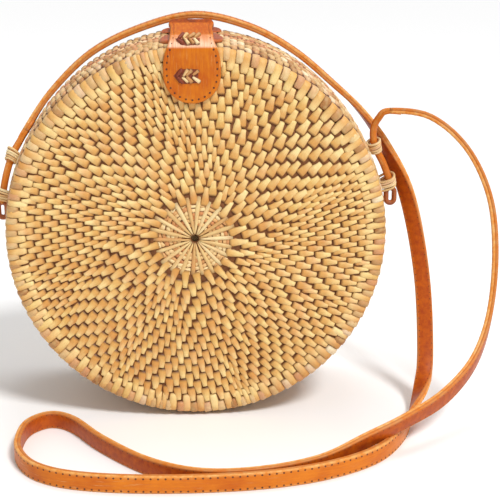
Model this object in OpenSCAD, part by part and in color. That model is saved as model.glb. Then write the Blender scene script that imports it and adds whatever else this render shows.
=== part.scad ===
// Round shoulder bag of coiled cane. Two shallow woven halves stand face to face, hinged at the
// bottom by cane loops. A keyhole leather flap is laced to the front half and snaps on the back one,
// and a long two ply leather strap is tied to the sides of the back half with cane loops.
// +Z is up, the front faces -Y, and the origin is on the ground under the middle of the whole bag,
// a little in front of the mouth because the flap and its knot stand out from the front face.

/* [Bag] */
// Diameter at the edge of the flat faces
bag_d = 200; // [170:1:240]
// Depth from the front face to the back face
bag_depth = 80; // [66:1:110]
// How much wider the side wall is at the mouth than at the faces, on the radius
swell = 2; // [1:0.5:4]
// Depth of the flat that the bag stands on
foot_flat = 0.6; // [0.4:0.1:1]

/* [Coiled wall] */
// Thickness of the wall over the crests of its coils
wall = 4.8; // [4:0.1:6]
// Spacing of the coils
coil_pitch = 4.4; // [3.5:0.1:6]
// Depth of the valley between two coils
valley = 0.7; // [0.4:0.1:1]
// Radius of the thicker coil at the edge of a face
corner_r = 3.2; // [2.8:0.1:4]
// Radius of the hole in the middle of a face
hole_r = 2; // [1:0.5:3]
// Radius of the ring of spokes that starts a face
hub_r = 24; // [16:1:30]
// Number of spokes
spoke_count = 22; // [12:1:28]
// Thickness of a spoke
spoke_t = 0.8; // [0.5:0.1:1.2]
// Width of a spoke at its outer end
spoke_w = 2.5; // [1.5:0.1:4]
// Width of a spoke at its inner end
spoke_tip_w = 0.7; // [0.4:0.1:0.8]
// Radius at which the spokes begin
spoke_in_r = 3.2; // [3:0.1:5]

/* [Mouth and hinge] */
// Radius of the braided cord round each mouth
rim_r = 1.5; // [1.2:0.1:1.8]
// Gap between the two mouth cords when the bag is shut
mouth_gap = 0.6; // [0.4:0.1:1]
// Thickness of a hinge loop
loop_t = 0.7; // [0.5:0.1:1]
// Room between a hinge loop and the mouth cords inside it
loop_room = 0.6; // [0.5:0.1:0.8]
// Width of a hinge loop
loop_w = 6; // [4:0.5:7]
// Distance from the middle of the bag to a hinge loop
loop_x = 9; // [6:0.5:9]
// Room left for the hinge loops in the front wall, along the depth
front_notch = 4.2; // [4:0.2:8]
// Room left for the hinge loops in the back wall, along the depth
back_notch = 2.2; // [1.6:0.2:6]

/* [Lining] */
// Thickness of the lining cloth
lining_t = 0.7; // [0.5:0.1:1]
// Gap between the lining and the wall
lining_gap = 0.2; // [0.1:0.1:0.4]
// Distance from the mouth to the lining's hem
hem_d = 7.6; // [7.6:0.2:12]
// Length of the bevel where the lining leaves the side for the face
lining_bevel = 3; // [2:0.5:5]

/* [Flap] */
// Sideways place of the flap, from the middle of the bag
flap_x = -1.5; // [-4:0.5:4]
// Thickness of the flap's outer leather
leather_t = 1.3; // [1:0.1:1.8]
// Thickness of the flap's backing leather
backing_t = 0.9; // [0.9:0.1:1.2]
// Gap between the two leathers, and between the flap and the weave
ply_gap = 0.1; // [0.05:0.01:0.15]
// Gap between the flap and the crests of the coils
flap_seat = 0.2; // [0.1:0.05:0.4]
// Radius of the round pad on the front face
pad_r = 14.5; // [12:0.5:18]
// Drop from the top of the flap to the middle of the round pad
pad_drop = 19.8; // [18:0.2:24]
// Height of the flap's underside over the mouth
flap_rise = 1.3; // [1.3:0.1:2]
// Radius of the bend over the edge of the face, inside the leather
bend_r = 5.5; // [5.5:0.5:8]
// Width of the neck where it leaves the pad and where it ends
neck_w = 25; // [20:0.5:28]
// Width of the neck at its narrowest
neck_min_w = 21.8; // [16:0.2:24]
// Depth behind the mouth at which the neck ends
tail_d = 16; // [13:0.5:18]
// Depth in front of the mouth at which the neck folds up
fold_d = 22; // [20:0.5:24]
// Gap at the fold
fold_gap = 0.3; // [0.2:0.05:0.5]
// Radius of the cane strands that lace the flap down
lace_r = 1.1; // [1:0.05:1.5]
// Length of one laced strand
lace_l = 6; // [4:0.2:7]
// Spacing of the laced strands
lace_pitch = 2.1; // [2:0.1:3]
// Height of the knot on the pad, over the middle of the pad
pad_knot_up = -0.6; // [-2:0.2:2]
// Sideways place of the knot on the pad, from the middle of the flap
pad_knot_x = -2; // [-3:0.5:3]
// Sideways place of the knot on the neck, from the middle of the flap
neck_knot_x = -1; // [-3:0.5:3]

/* [Leather patches and snap] */
// Diameter of the round patch under the neck
patch_d = 31; // [26:0.5:32]
// Depth in front of the mouth of the round patch's middle
patch_mid_d = 19.6; // [19:0.2:21]
// Gap under the leather patches
patch_seat = 0.15; // [0.1:0.05:0.3]
// Gap between the patches and the neck
patch_gap = 0.3; // [0.3:0.05:0.6]
// Width of the snap's patch on the back half
snap_patch_w = 20; // [16:0.5:24]
// Diameter of the snap's two discs
snap_d = 10; // [8:0.5:11]
// Thickness of the snap's upper disc
stud_t = 0.8; // [0.6:0.05:0.85]
// Thickness of the snap's lower disc
socket_t = 0.5; // [0.4:0.05:0.6]
// Depth behind the mouth of the snap's middle
snap_mid_d = 10.2; // [10:0.1:10.5]
// Gap round each of the snap's discs
snap_room = 0.15; // [0.1:0.05:0.2]

/* [Strap] */
// Width of the strap
strap_w = 9; // [7:0.5:12]
// Thickness of the strap, both plies
strap_t = 3.5; // [2.5:0.1:4]
// Diameter of the strap's rolled ends
roll_d = 4.4; // [3.6:0.1:4.6]
// Radius of the cane in a tie
tie_r = 1; // [0.8:0.05:1.1]
// Spacing of the turns in a tie
tie_pitch = 2.15; // [2.15:0.05:2.4]
// Turns in a tie
tie_turns = 3; // [2:1:4]
// Gap between the ties and the wall
tie_seat = 0.5; // [0.4:0.05:0.6]
// Gap between a rolled strap end and the tie round it
tie_room = 0.3; // [0.2:0.05:0.4]
// Extra radius of the left lower tie
tie_slack_left = 0.8; // [0.4:0.1:1.2]
// Extra radius of the right lower tie
tie_slack_right = 1.8; // [1:0.1:2.2]
// Width of the leather loop at each end of the strap
end_loop_w = 7; // [6:0.5:8]
// Height of the leather loop at each end of the strap
end_loop_h = 10.6; // [9:0.2:12]
// Radius of the leather in the end loops
end_loop_r = 1.3; // [1:0.1:1.5]

/* [Hidden] */

$fn = 96;
// Overrun of a cut past the surface that it opens
overrun = 1;
half_depth = bag_depth / 2;
face_r = bag_d / 2;
mouth_r = face_r + swell;
// Height of the bag's axis over the ground
centre_z = mouth_r - foot_flat;

// Coils
row_r = wall / 2;
web_t = wall - 2 * valley;
face_edge_r = face_r - 2 * corner_r - ply_gap - (row_r - coil_pitch / 2);
web_top_d = half_depth - valley;
face_rows = round((face_edge_r - hub_r) / coil_pitch);
face_pitch = (face_edge_r - hub_r) / face_rows;
corner_d = half_depth - corner_r;
rim_d = mouth_gap / 2 + rim_r;
side_start_d = rim_d + rim_r;
side_rows = round((corner_d - corner_r - side_start_d) / coil_pitch);
side_pitch = (corner_d - corner_r - side_start_d) / side_rows;
// Steps of the side wall's curve
side_steps = 8;

// Hinge: the front half turns about its own mouth cord, at the bottom of the mouth
loop_in_r = rim_r + loop_room;
loop_out_r = loop_in_r + loop_t;
rim_ring_r = centre_z - loop_out_r;
hinge_z = centre_z - rim_ring_r;
loop_z = centre_z - sqrt(pow(rim_ring_r, 2) - pow(loop_x, 2));
// Room beside a hinge loop in its notch
notch_side = 1;

// Lining
lining_mouth_r = side_r(hem_d) - wall - lining_gap;
lining_face_d = half_depth - wall - lining_gap;
lining_bend_d = lining_face_d - lining_bevel;
lining_bend_r = side_r(lining_bend_d) - wall - lining_gap;

// Flap, as heights over the bag's axis
neck_under = mouth_r + flap_rise;
neck_top = neck_under + backing_t + ply_gap + leather_t;
flap_in_d = half_depth + flap_seat;
flap_out_d = flap_in_d + backing_t + ply_gap + leather_t;
bend_d = flap_in_d - bend_r;
// Place of the mouth behind the middle of the whole depth, which runs from the knot to the spokes
knot_rise = lace_r * 4 / 3;
mouth_y = (flap_out_d + knot_rise - web_top_d - spoke_t) / 2;
bend_up = neck_under - bend_r;
pad_up = neck_top - pad_drop;
// The pad's sides run straight from inside the round pad to the neck's full width below the bend
pad_side_share = 0.95;
pad_low = [pad_side_share * pad_r, pad_up];
pad_cross = [neck_w / 2, bend_up - overrun];
neck_mid_d = (bend_d - tail_d) / 2;
neck_half_l = (bend_d + tail_d) / 2 - overrun;
neck_sag = (neck_w - neck_min_w) / 2;
neck_side_r = pow(neck_half_l, 2) / (2 * neck_sag) + neck_sag / 2;
// Rounding of the neck's free corners
tail_corner_r = 2;
// Strands in each row of a knot
lace_count = 5;
lace_tilt = 35;
// Distance of the neck knot's middle in front of the fold
neck_knot_ahead = 8.5;

// Patches
patch_top = neck_under - patch_gap;
neck_patch_front_d = patch_mid_d + patch_d / 2;
snap_patch_d = snap_mid_d + snap_d / 2 + 2 * patch_gap;

// Ties, as angles over the bag's axis and depths behind the mouth
tie_depth = 14;
upper_tie_left_angle = 18;
upper_tie_right_angle = 20;
lower_tie_left_angle = 5.5;
lower_tie_right_angle = 8.5;
tie_ring_r = roll_d / 2 + tie_room + tie_r;
tie_up = tie_seat + tie_ring_r + tie_r;
// Steps of the strap between two of its points, and its width and thickness as shares
strap_steps = 2;
end_steps = 3;
strap_section_shares = [[1, 0.5], [0.8, 1], [-0.8, 1], [-1, 0.5], [-1, -0.5], [-0.8, -1],
    [0.8, -1], [1, -0.5]];

// The turn of each strap end between its upper tie and the strap, as angles over the bag's axis,
// standoffs from the side wall and depths behind the mouth
left_turn_angle = 22.4;
left_turn_up = 3.8;
left_turn_depth = 17;
right_turn_angle = 24.7;
right_turn_up = 7.4;
right_turn_depth = 13.7;
right_rise_angle = 27.3;
right_rise_up = 12.8;
right_rise_depth = 13.2;
left_turn_point = off_side(180 - left_turn_angle, left_turn_up, left_turn_depth);
right_turn_points = [off_side(right_turn_angle, right_turn_up, right_turn_depth),
    off_side(right_rise_angle, right_rise_up, right_rise_depth)];
// The places where the strap widens out of its two ends, in the same terms
left_join_angle = 26;
left_join_up = 3.1;
left_join_depth = 20;
right_join_angle = 27.7;
right_join_up = 20.1;
right_join_depth = 12.5;
// The strap's middle line, from the left side over the top, down to the table, round and back up
strap_points = [
    off_side(180 - left_join_angle, left_join_up, left_join_depth), [-80.3, 26, 167.2], [-57.2, 29, 189], [-29, 30, 202.7], [1, 30, 209.5],
    [31, 30, 202.8], [56.2, 30, 189], [78.3, 29, 170.5], [93.2, 27, 156.3], [107, 23, 137],
    [120, 16, 108], [127, 0, 66], [127.5, -17, 24], [123, -31, 9], [113.7, -56, 5.1],
    [103.4, -81, 4.7], [87.4, -103, 4.6], [60, -119.5, 4.6], [25, -128, 4.6], [-20, -129.6, 4.6],
    [-58, -124.4, 4.6], [-80, -113.2, 4.6], [-90.8, -95, 4.6], [-92.7, -76, 4.6],
    [-89.5, -60, 4.6], [-79, -51.2, 4.6], [-66.5, -58.5, 4.6], [-50, -83, 4.6],
    [-26, -109.5, 4.6], [0, -123.2, 4.6], [30, -122.4, 4.6], [60, -111.6, 5.2],
    [84, -97.2, 10], [106.6, -85.8, 15.9], [129, -68, 21], [148.2, -48, 32.8],
    [159, -33, 54.8], [163.1, -21, 86], [161, -9, 114.5], [149.3, 1, 139.3],
    [129.8, 8, 155.4],
    off_side(right_join_angle, right_join_up, right_join_depth)];
// The way the strap's width points at each of those points
strap_across_shares = [
    [0.1, 1, 0], [0, 1, 0], [0, 1, 0], [0, 1, 0], [0, 1, 0],
    [0, 1, 0], [0, 1, 0], [0, 1, 0], [-0.15, 1, 0], [-0.45, 0.9, 0],
    [-0.85, 0.55, 0], [-1, 0.2, 0], [-1, 0, -0.1], [-0.8, 0.1, -0.6], [-0.3, 0, -1],
    [0, 0, -1], [0, 0, -1], [0, 0, -1], [0, 0, -1], [0, 0, -1],
    [0, 0, -1], [0, 0, -1], [0, 0, -1], [0, 0, -1], [0, 0, -1],
    [0, 0, -1], [0, 0, -1], [0, 0, -1], [0, 0, -1], [0, 0, -1],
    [0, 0, -1], [0, 0.06, -1], [0.05, 0.32, -0.94], [0.12, 0.42, -0.9], [0.25, 0.42, -0.87],
    [0.3, 0.7, -0.65], [0.24, 0.95, -0.35], [0.2, 0.95, -0.25], [0.2, 0.95, -0.22],
    [0.2, 0.95, -0.2], [0.17, 0.97, -0.19], [0.15, 0.97, -0.18]];

// Standoff of the rolled end at a lower tie, pulled to the far side of the loose ring
function lower_up(slack) = tie_up + 2 * slack;
// Angle between a lower tie and the foot of the rolled end
end_drop_angle = 2.2;
left_end_points = [
    off_side(180 - lower_tie_left_angle + end_drop_angle, lower_up(tie_slack_left), tie_depth),
    off_side(180 - lower_tie_left_angle, lower_up(tie_slack_left), tie_depth),
    off_side(180 - (lower_tie_left_angle + upper_tie_left_angle) / 2, tie_up + tie_slack_left,
        tie_depth),
    off_side(180 - upper_tie_left_angle, tie_up, tie_depth), left_turn_point, strap_points[0]];
right_end_points = [
    off_side(lower_tie_right_angle - end_drop_angle, lower_up(tie_slack_right), tie_depth),
    off_side(lower_tie_right_angle, lower_up(tie_slack_right), tie_depth),
    off_side((lower_tie_right_angle + upper_tie_right_angle) / 2, tie_up + tie_slack_right, tie_depth),
    off_side(upper_tie_right_angle, tie_up, tie_depth), right_turn_points[0], right_turn_points[1],
    clamped(strap_points, len(strap_points))];
// The places of the two ties in each of those lists
lower_tie_at = 1;
upper_tie_at = 3;
// The directions in which the strap leaves its left end and reaches its right end
left_join_way = unit(strap_points[1] - left_turn_point);
right_join_way = unit(right_turn_points[1] - clamped(strap_points, len(strap_points) - 2));

// Outer radius of the side wall at a depth from the mouth
function side_r(d) = face_r + swell * (1 - pow(d / half_depth, 2));
// A point that stands off the side wall, at an angle over the bag's axis
function off_side(angle, up, y) = let (r = side_r(abs(y)) + up)
    [r * cos(angle), y, centre_z + r * sin(angle)];
function unit(v) = v / norm(v);
function curve(a, b, c, d, t) = 0.5 * (2 * b + (c - a) * t + (2 * a - 5 * b + 4 * c - d) * pow(t, 2)
    + (3 * b - a - 3 * c + d) * pow(t, 3));
function clamped(list, i) = list[max(0, min(len(list) - 1, i))];
function smooth(list, steps) = [for (i = [0 : len(list) - 2]) for (k = [0 : steps - 1])
    curve(i == 0 ? 2 * list[0] - list[1] : list[i - 1], list[i], list[i + 1],
        i == len(list) - 2 ? 2 * list[i + 1] - list[i] : list[i + 2], k / steps),
    list[len(list) - 1]];

// A strip swept along points, with its width direction, width and thickness at each. Its two ends
// are square to the directions given, so that it meets its neighbour face to face.
module sweep(points, across, widths, heights, first, last) {
    n = len(points);
    sides = len(strap_section_shares);
    along = [for (i = [0 : n - 1]) i == 0 ? first : i == n - 1 ? last
        : unit(clamped(points, i + 1) - clamped(points, i - 1))];
    wide = [for (i = [0 : n - 1]) unit(across[i] - (across[i] * along[i]) * along[i])];
    rings = [for (i = [0 : n - 1]) for (s = strap_section_shares)
        points[i] + s[0] * widths[i] / 2 * wide[i] + s[1] * heights[i] / 2 * cross(along[i], wide[i])];
    polyhedron(rings, concat([[for (k = [0 : sides - 1]) k]],
        [[for (k = [0 : sides - 1]) n * sides - 1 - k]],
        [for (i = [0 : n - 2]) for (k = [0 : sides - 1]) let (m = (k + 1) % sides)
            each [[i * sides + k, (i + 1) * sides + k, (i + 1) * sides + m],
                [i * sides + k, (i + 1) * sides + m, i * sides + m]]]));
}

// The front half's frame: X is sideways, Y is up from the bag's axis, Z is forward from the mouth
module front_half() {
    translate([0, mouth_y, centre_z]) rotate([90, 0, 0]) children();
}
module back_half() {
    translate([0, mouth_y, centre_z]) mirror([0, 1, 0]) rotate([90, 0, 0]) children();
}
// Points that are given from the mouth
module from_mouth() {
    translate([0, mouth_y, 0]) children();
}

module face() {
    rotate_extrude() {
        translate([hole_r, web_top_d - web_t]) square([face_edge_r - hole_r, web_t]);
        for (i = [0 : face_rows - 1])
            translate([hub_r + (i + 1 / 2) * face_pitch, half_depth - row_r]) circle(r = row_r);
    }
}
module hub() {
    for (i = [0 : spoke_count - 1]) rotate([0, 0, i * 360 / spoke_count])
        translate([0, 0, web_top_d]) linear_extrude(spoke_t)
            polygon([[spoke_in_r, -spoke_tip_w / 2], [hub_r, -spoke_w / 2], [hub_r, spoke_w / 2],
                [spoke_in_r, spoke_tip_w / 2]]);
}
module side_web() {
    rotate_extrude() polygon(concat(
        [for (k = [0 : side_steps]) let (d = side_start_d + k / side_steps * (corner_d - side_start_d))
            [side_r(d) - valley, d]],
        [for (k = [side_steps : -1 : 0])
            let (d = side_start_d + k / side_steps * (corner_d - side_start_d))
            [side_r(d) - valley - web_t, d]]));
}
module side(notch) {
    difference() {
        union() {
            side_web();
            for (i = [0 : side_rows - 1]) let (d = side_start_d + (i + 1 / 2) * side_pitch)
                rotate_extrude() translate([side_r(d) - row_r, d]) circle(r = row_r);
            rotate_extrude() translate([face_r - corner_r, corner_d]) circle(r = corner_r);
        }
        translate([-mouth_r, -mouth_r, 0]) cube([2 * mouth_r, 2 * mouth_r, side_start_d]);
        translate([-mouth_r, -mouth_r - centre_z, 0]) cube([2 * mouth_r, mouth_r, bag_depth]);
        for (s = [-1, 1]) translate([s * loop_x - loop_w / 2 - notch_side, -centre_z - overrun, 0])
            cube([loop_w + 2 * notch_side, loop_out_r + loop_z + 2 * overrun, side_start_d + notch]);
    }
}
module rim() {
    rotate_extrude() translate([rim_ring_r, rim_d]) circle(r = rim_r);
}
module lining() {
    rotate_extrude() polygon([
        [lining_mouth_r, hem_d], [lining_bend_r, lining_bend_d],
        [lining_bend_r - lining_bevel, lining_face_d], [0, lining_face_d],
        [0, lining_face_d - lining_t], [lining_bend_r - lining_bevel - lining_t, lining_face_d - lining_t],
        [lining_bend_r - lining_t, lining_bend_d - lining_t], [lining_mouth_r - lining_t, hem_d]]);
}

module stadium(r, reach) {
    for (s = [-1, 1]) translate([s * reach, 0]) circle(r = r);
    translate([-reach, -r]) square([2 * reach, 2 * r]);
}
module hinge_loops() color("peru") from_mouth() {
    for (s = [-1, 1]) translate([s * loop_x - loop_w / 2, 0, loop_z]) rotate([90, 0, 90])
        linear_extrude(loop_w) difference() {
            stadium(loop_out_r, rim_d);
            stadium(loop_in_r, rim_d);
        }
}

// A patch over the side wall between two depths from the mouth. Its underside is the cone that
// touches the wall's curve at the middle of the patch.
module patch_shell(from_d, to_d) {
    mid_d = (from_d + to_d) / 2;
    slope = -2 * swell * mid_d / pow(half_depth, 2);
    reach = slope * (to_d - from_d) / 2;
    rotate_extrude($fn = 720) polygon([
        [side_r(mid_d) + patch_seat - reach, from_d], [side_r(mid_d) + patch_seat + reach, to_d],
        [patch_top, to_d], [patch_top, from_d]]);
}
module neck_patch() color("sienna") front_half() intersection() {
    patch_shell(patch_mid_d - patch_d / 2, neck_patch_front_d);
    translate([flap_x, 0, patch_mid_d]) rotate([-90, 0, 0]) cylinder(h = mouth_r + patch_d, d = patch_d);
}
module snap_patch() color("sienna") back_half() difference() {
    intersection() {
        patch_shell(side_start_d, snap_patch_d);
        translate([flap_x - snap_patch_w / 2, 0, 0]) cube([snap_patch_w, mouth_r + patch_d, half_depth]);
    }
    translate([flap_x, patch_top - socket_t - snap_room, snap_mid_d]) rotate([-90, 0, 0])
        cylinder(h = patch_d, d = snap_d + 2 * snap_room);
}
module snap_socket() color("silver") back_half()
    translate([flap_x, patch_top - socket_t - snap_room, snap_mid_d]) rotate([-90, 0, 0])
        cylinder(h = socket_t, d = snap_d);
module snap_stud() color("silver") back_half()
    translate([flap_x, neck_under, snap_mid_d]) rotate([-90, 0, 0]) cylinder(h = stud_t, d = snap_d);

// The flap's outline on the front face, and its neck seen from above as [x, depth before the mouth]
module pad_outline() {
    pad_far = 2 * pad_cross - pad_low;
    difference() {
        union() {
            translate([0, pad_up]) circle(r = pad_r);
            polygon([[-pad_low[0], pad_low[1]], [-pad_far[0], pad_far[1]], pad_far, pad_low]);
        }
        translate([-2 * pad_r, bend_up - overrun / 2]) square([4 * pad_r, 2 * pad_r]);
    }
    translate([-neck_w / 2, bend_up - 2 * overrun]) square([neck_w, 2 * overrun]);
}
module neck_outline(from_d, to_d) {
    difference() {
        translate([-neck_w / 2, from_d]) square([neck_w, to_d - from_d]);
        for (s = [-1, 1]) translate([s * (neck_min_w / 2 + neck_side_r), neck_mid_d])
            circle(r = neck_side_r, $fn = 360);
    }
}
// One ply of the flap that is fixed to the front half, a height over the neck's underside
module fixed_ply(up, t) {
    translate([flap_x, 0, 0]) {
        translate([0, 0, flap_in_d + up]) linear_extrude(t) pad_outline();
        translate([0, bend_up, bend_d]) rotate([0, 90, 0]) rotate([0, 0, 90])
            rotate_extrude(angle = 90) translate([bend_r + up, -neck_w / 2]) square([t, neck_w]);
        translate([0, neck_under + up + t, 0]) rotate([90, 0, 0]) linear_extrude(t)
            neck_outline(fold_d, bend_d);
    }
}
// One ply of the neck's free end
module tail_ply(up, t) {
    translate([flap_x, neck_under + up + t, 0]) rotate([90, 0, 0]) linear_extrude(t) difference() {
        neck_outline(-tail_d, fold_d - fold_gap);
        for (s = [-1, 1]) translate([s * neck_w / 2, -tail_d]) rotate([0, 0, 45])
            square(tail_corner_r, center = true);
    }
}
module flap_pad() color("chocolate") front_half() fixed_ply(backing_t + ply_gap, leather_t);
module flap_backing() color("peru") front_half() fixed_ply(0, backing_t);
module flap_tail() color("chocolate") front_half() tail_ply(backing_t + ply_gap, leather_t);
module flap_tail_backing() color("peru") difference() {
    front_half() tail_ply(0, backing_t);
    back_half() translate([flap_x, neck_under - overrun, snap_mid_d]) rotate([-90, 0, 0])
        cylinder(h = backing_t + 2 * overrun, d = snap_d + 2 * snap_room);
}

// Two rows of slanting cane strands, cut flat underneath, lying on the plane Z = 0
module cane_knot() {
    intersection() {
        for (row = [-1, 1]) for (i = [0 : lace_count - 1])
            translate([(i - (lace_count - 1) / 2) * lace_pitch, row * lace_l / 3, lace_r / 3])
                rotate([0, 0, row * lace_tilt]) rotate([90, 0, 0]) {
                    cylinder(h = lace_l - 2 * lace_r, r = lace_r, center = true);
                    for (s = [-1, 1]) translate([0, 0, s * (lace_l / 2 - lace_r)]) sphere(r = lace_r);
                }
        translate([-lace_count * lace_pitch, -lace_l, 0])
            cube([2 * lace_count * lace_pitch, 2 * lace_l, 2 * lace_r]);
    }
}
module pad_knot() color("tan") front_half()
    translate([flap_x + pad_knot_x, pad_up + pad_knot_up, flap_out_d]) cane_knot();
module neck_knot() color("tan") front_half()
    translate([flap_x + neck_knot_x, neck_top, fold_d + neck_knot_ahead]) rotate([-90, 0, 0])
        cane_knot();

// A tie is a stack of cane rings square to the rolled strap end at one of its points, and a loose
// one hangs on the outside of the roll
module tie(points, i, slack) {
    way = unit(points[i + 1] - points[i - 1]);
    out = unit([points[i][0], 0, points[i][2] - centre_z]);
    translate(points[i] - slack * out) rotate([0, acos(way[2]), atan2(way[1], way[0])])
        for (k = [0 : tie_turns - 1]) translate([0, 0, (k - (tie_turns - 1) / 2) * tie_pitch])
            rotate_extrude() translate([tie_ring_r + slack, 0]) circle(r = tie_r, $fn = 24);
}
module left_upper_tie() color("tan") from_mouth() tie(left_end_points, upper_tie_at, 0);
module left_lower_tie() color("tan") from_mouth()
    tie(left_end_points, lower_tie_at, tie_slack_left);
module right_upper_tie() color("tan") from_mouth() tie(right_end_points, upper_tie_at, 0);
module right_lower_tie() color("tan") from_mouth()
    tie(right_end_points, lower_tie_at, tie_slack_right);

// Each strap end is one piece of leather: a closed loop below the lower tie, then a roll that runs
// up through both ties and widens into the strap
module strap_end(points, across, last) {
    path = smooth(points, end_steps);
    n = len(path);
    turn_at = n - 1 - 2 * end_steps;
    // The corners of the roll's section lie on its diameter
    roll_w = roll_d / norm(strap_section_shares[1]);
    grow = [for (i = [0 : n - 1]) max(0, (i - turn_at) / (n - 1 - turn_at))];
    sweep(path, [for (g = grow) (1 - g) * [0, 1, 0] + g * across],
        [for (g = grow) roll_w + g * (strap_w - roll_w)],
        [for (g = grow) roll_w + g * (strap_t - roll_w)], unit(path[1] - path[0]), last);
    translate(points[0] + [0, 0, end_loop_r - end_loop_h / 2]) end_loop();
}
module end_loop() {
    reach = end_loop_h / 2 - end_loop_w / 2;
    ring_r = end_loop_w / 2 - end_loop_r;
    rotate([90, 0, 0]) {
        for (s = [0, 180]) rotate([0, 0, s]) translate([0, reach, 0])
            rotate_extrude(angle = 180) translate([ring_r, 0]) circle(r = end_loop_r, $fn = 24);
        for (s = [-1, 1]) translate([s * ring_r, 0, 0]) rotate([90, 0, 0])
            cylinder(h = 2 * reach, r = end_loop_r, center = true, $fn = 24);
    }
}
module left_strap_end() color("chocolate") from_mouth()
    strap_end(left_end_points, strap_across_shares[0], left_join_way);
module right_strap_end() color("chocolate") from_mouth()
    strap_end(right_end_points, clamped(strap_across_shares, len(strap_points)), -right_join_way);

module strap() color("chocolate") from_mouth() {
    path = smooth(strap_points, strap_steps);
    sweep(path, smooth(strap_across_shares, strap_steps),
        [for (p = path) strap_w], [for (p = path) strap_t], left_join_way, right_join_way);
}

module back_face() color("burlywood") back_half() face();
module back_hub() color("wheat") back_half() hub();
module back_side() color("burlywood") back_half() side(back_notch);
module back_rim() color("tan") back_half() rim();
module back_lining() color("tan") back_half() lining();
module front_face() color("burlywood") front_half() face();
module front_hub() color("wheat") front_half() hub();
module front_side() color("burlywood") front_half() side(front_notch);
module front_rim() color("tan") front_half() rim();
module front_lining() color("tan") front_half() lining();

back_face();
back_hub();
back_side();
back_rim();
back_lining();
hinge_loops();
snap_patch();
snap_socket();
left_upper_tie();
left_lower_tie();
right_upper_tie();
right_lower_tie();
left_strap_end();
right_strap_end();
strap();
front_face();
front_hub();
front_side();
front_rim();
front_lining();
neck_patch();
flap_pad();
flap_backing();
pad_knot();
neck_knot();
flap_tail();
flap_tail_backing();
snap_stud();
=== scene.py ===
"""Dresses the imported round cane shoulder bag: woven shells, braided mouth, leather flap, strap."""

import math

import bmesh
import bpy
import numpy as np
from mathutils import Matrix, Vector, geometry


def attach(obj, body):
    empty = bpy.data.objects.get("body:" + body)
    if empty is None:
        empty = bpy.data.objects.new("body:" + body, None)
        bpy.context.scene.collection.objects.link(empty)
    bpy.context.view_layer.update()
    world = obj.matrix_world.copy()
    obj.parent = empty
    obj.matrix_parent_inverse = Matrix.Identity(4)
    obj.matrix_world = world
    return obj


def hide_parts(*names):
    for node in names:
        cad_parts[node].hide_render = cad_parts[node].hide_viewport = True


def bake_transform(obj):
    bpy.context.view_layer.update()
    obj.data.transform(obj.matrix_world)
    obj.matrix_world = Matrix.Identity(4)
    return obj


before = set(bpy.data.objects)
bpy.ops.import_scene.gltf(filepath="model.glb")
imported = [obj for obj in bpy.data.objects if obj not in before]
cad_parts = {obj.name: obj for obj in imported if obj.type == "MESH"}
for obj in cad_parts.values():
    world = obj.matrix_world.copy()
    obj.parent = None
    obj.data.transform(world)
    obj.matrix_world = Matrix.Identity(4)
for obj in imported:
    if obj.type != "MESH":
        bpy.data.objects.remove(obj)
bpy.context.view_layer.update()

# Sizes are in mm. Shapes are made with the mouth at y = 0, and a depth is counted from there.
MM = 0.001
MOUTH_Y = 1.9333  # the mouth's place in the row frame
CENTRE_Z = 101.4  # height of the bag's axis over the ground
GROUND_GAP = 0.3
HALF_DEPTH = 40.0
FACE_R = 100.0
SWELL = 2.0  # what the side wall gains in radius towards the mouth
ROW_START_R = 24.0  # where the rows of strips start, outside the hub
FACE_ROWS = 16
FACE_PITCH = 4.331
SIDE_ROWS = 7
SIDE_PITCH = 4.329
SIDE_START_D = 3.3
HINGE_X = 9.0  # the hinge's turns are that far to each side
# No strips are under this height within these reaches, where the hinge's turns pass
HINGE_Z, HINGE_REACH_X, HINGE_REACH_D = 9.0, 15.0, 9.0
NOTCH_D = 7.6  # depth of the side wall's notches for them
CORNER_R = 3.2
RIM_RING_R = 98.6  # radius of the ring that the mouth's cord follows
RIM_D = 1.8
RIM_R = 1.5
BEND_S = 26.5  # the height up the flap's pad where its leather starts to bend over the top
FRONT, BACK = -1, 1
BODY = {FRONT: "front_half", BACK: "back_half"}
WORD = {FRONT: "front", BACK: "back"}


def aimed(name, data, place, direction):
    """Puts a camera or a light in the scene, at a place in metres and turned to a direction."""
    made = bpy.data.objects.new(name, data)
    bpy.context.scene.collection.objects.link(made)
    made.location = place
    made.rotation_euler = direction.to_track_quat("-Z", "Y").to_euler()
    return made


# Camera, at the photograph's viewing angle
EYE = Vector((-2.57, MOUTH_Y - 694.80, 288.67)) * MM
LOOKED_AT = Vector((29.688, MOUTH_Y, 82.375)) * MM
view = bpy.data.cameras.new("view")
view.lens, view.sensor_width = 93.45, 36.0
view.clip_start, view.clip_end = 0.05, 20.0
bpy.context.scene.camera = aimed("view", view, EYE, LOOKED_AT - EYE)


class Value:
    """One socket of a node tree. Arithmetic on it adds the tree's Math nodes."""

    def __init__(self, tree, socket):
        self.tree, self.socket = tree, socket

    def maths(self, operation, *others, clamp=False):
        return put(
            self.tree,
            "ShaderNodeMath",
            {"operation": operation, "use_clamp": clamp},
            dict(enumerate((self, *others))),
        )

    def __add__(self, other):
        return self.maths("ADD", other)

    def __mul__(self, other):
        return self.maths("MULTIPLY", other)

    __radd__, __rmul__ = __add__, __mul__

    def __sub__(self, other):
        return self.maths("SUBTRACT", other)

    def __rsub__(self, other):
        return self * -1 + other

    def __truediv__(self, other):
        return self.maths("DIVIDE", other)

    def __pow__(self, other):
        return self.maths("POWER", other)

    def __abs__(self):
        return self.maths("ABSOLUTE")

    def least(self, other):
        return self.maths("MINIMUM", other)

    def most(self, other):
        return self.maths("MAXIMUM", other)

    def sin(self):
        return self.maths("SINE")

    def cos(self):
        return self.maths("COSINE")

    def rise(self, low, high):
        """0 below low, 1 above high, straight between."""
        return (self - low).maths("MULTIPLY", 1 / (high - low), clamp=True)


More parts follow.
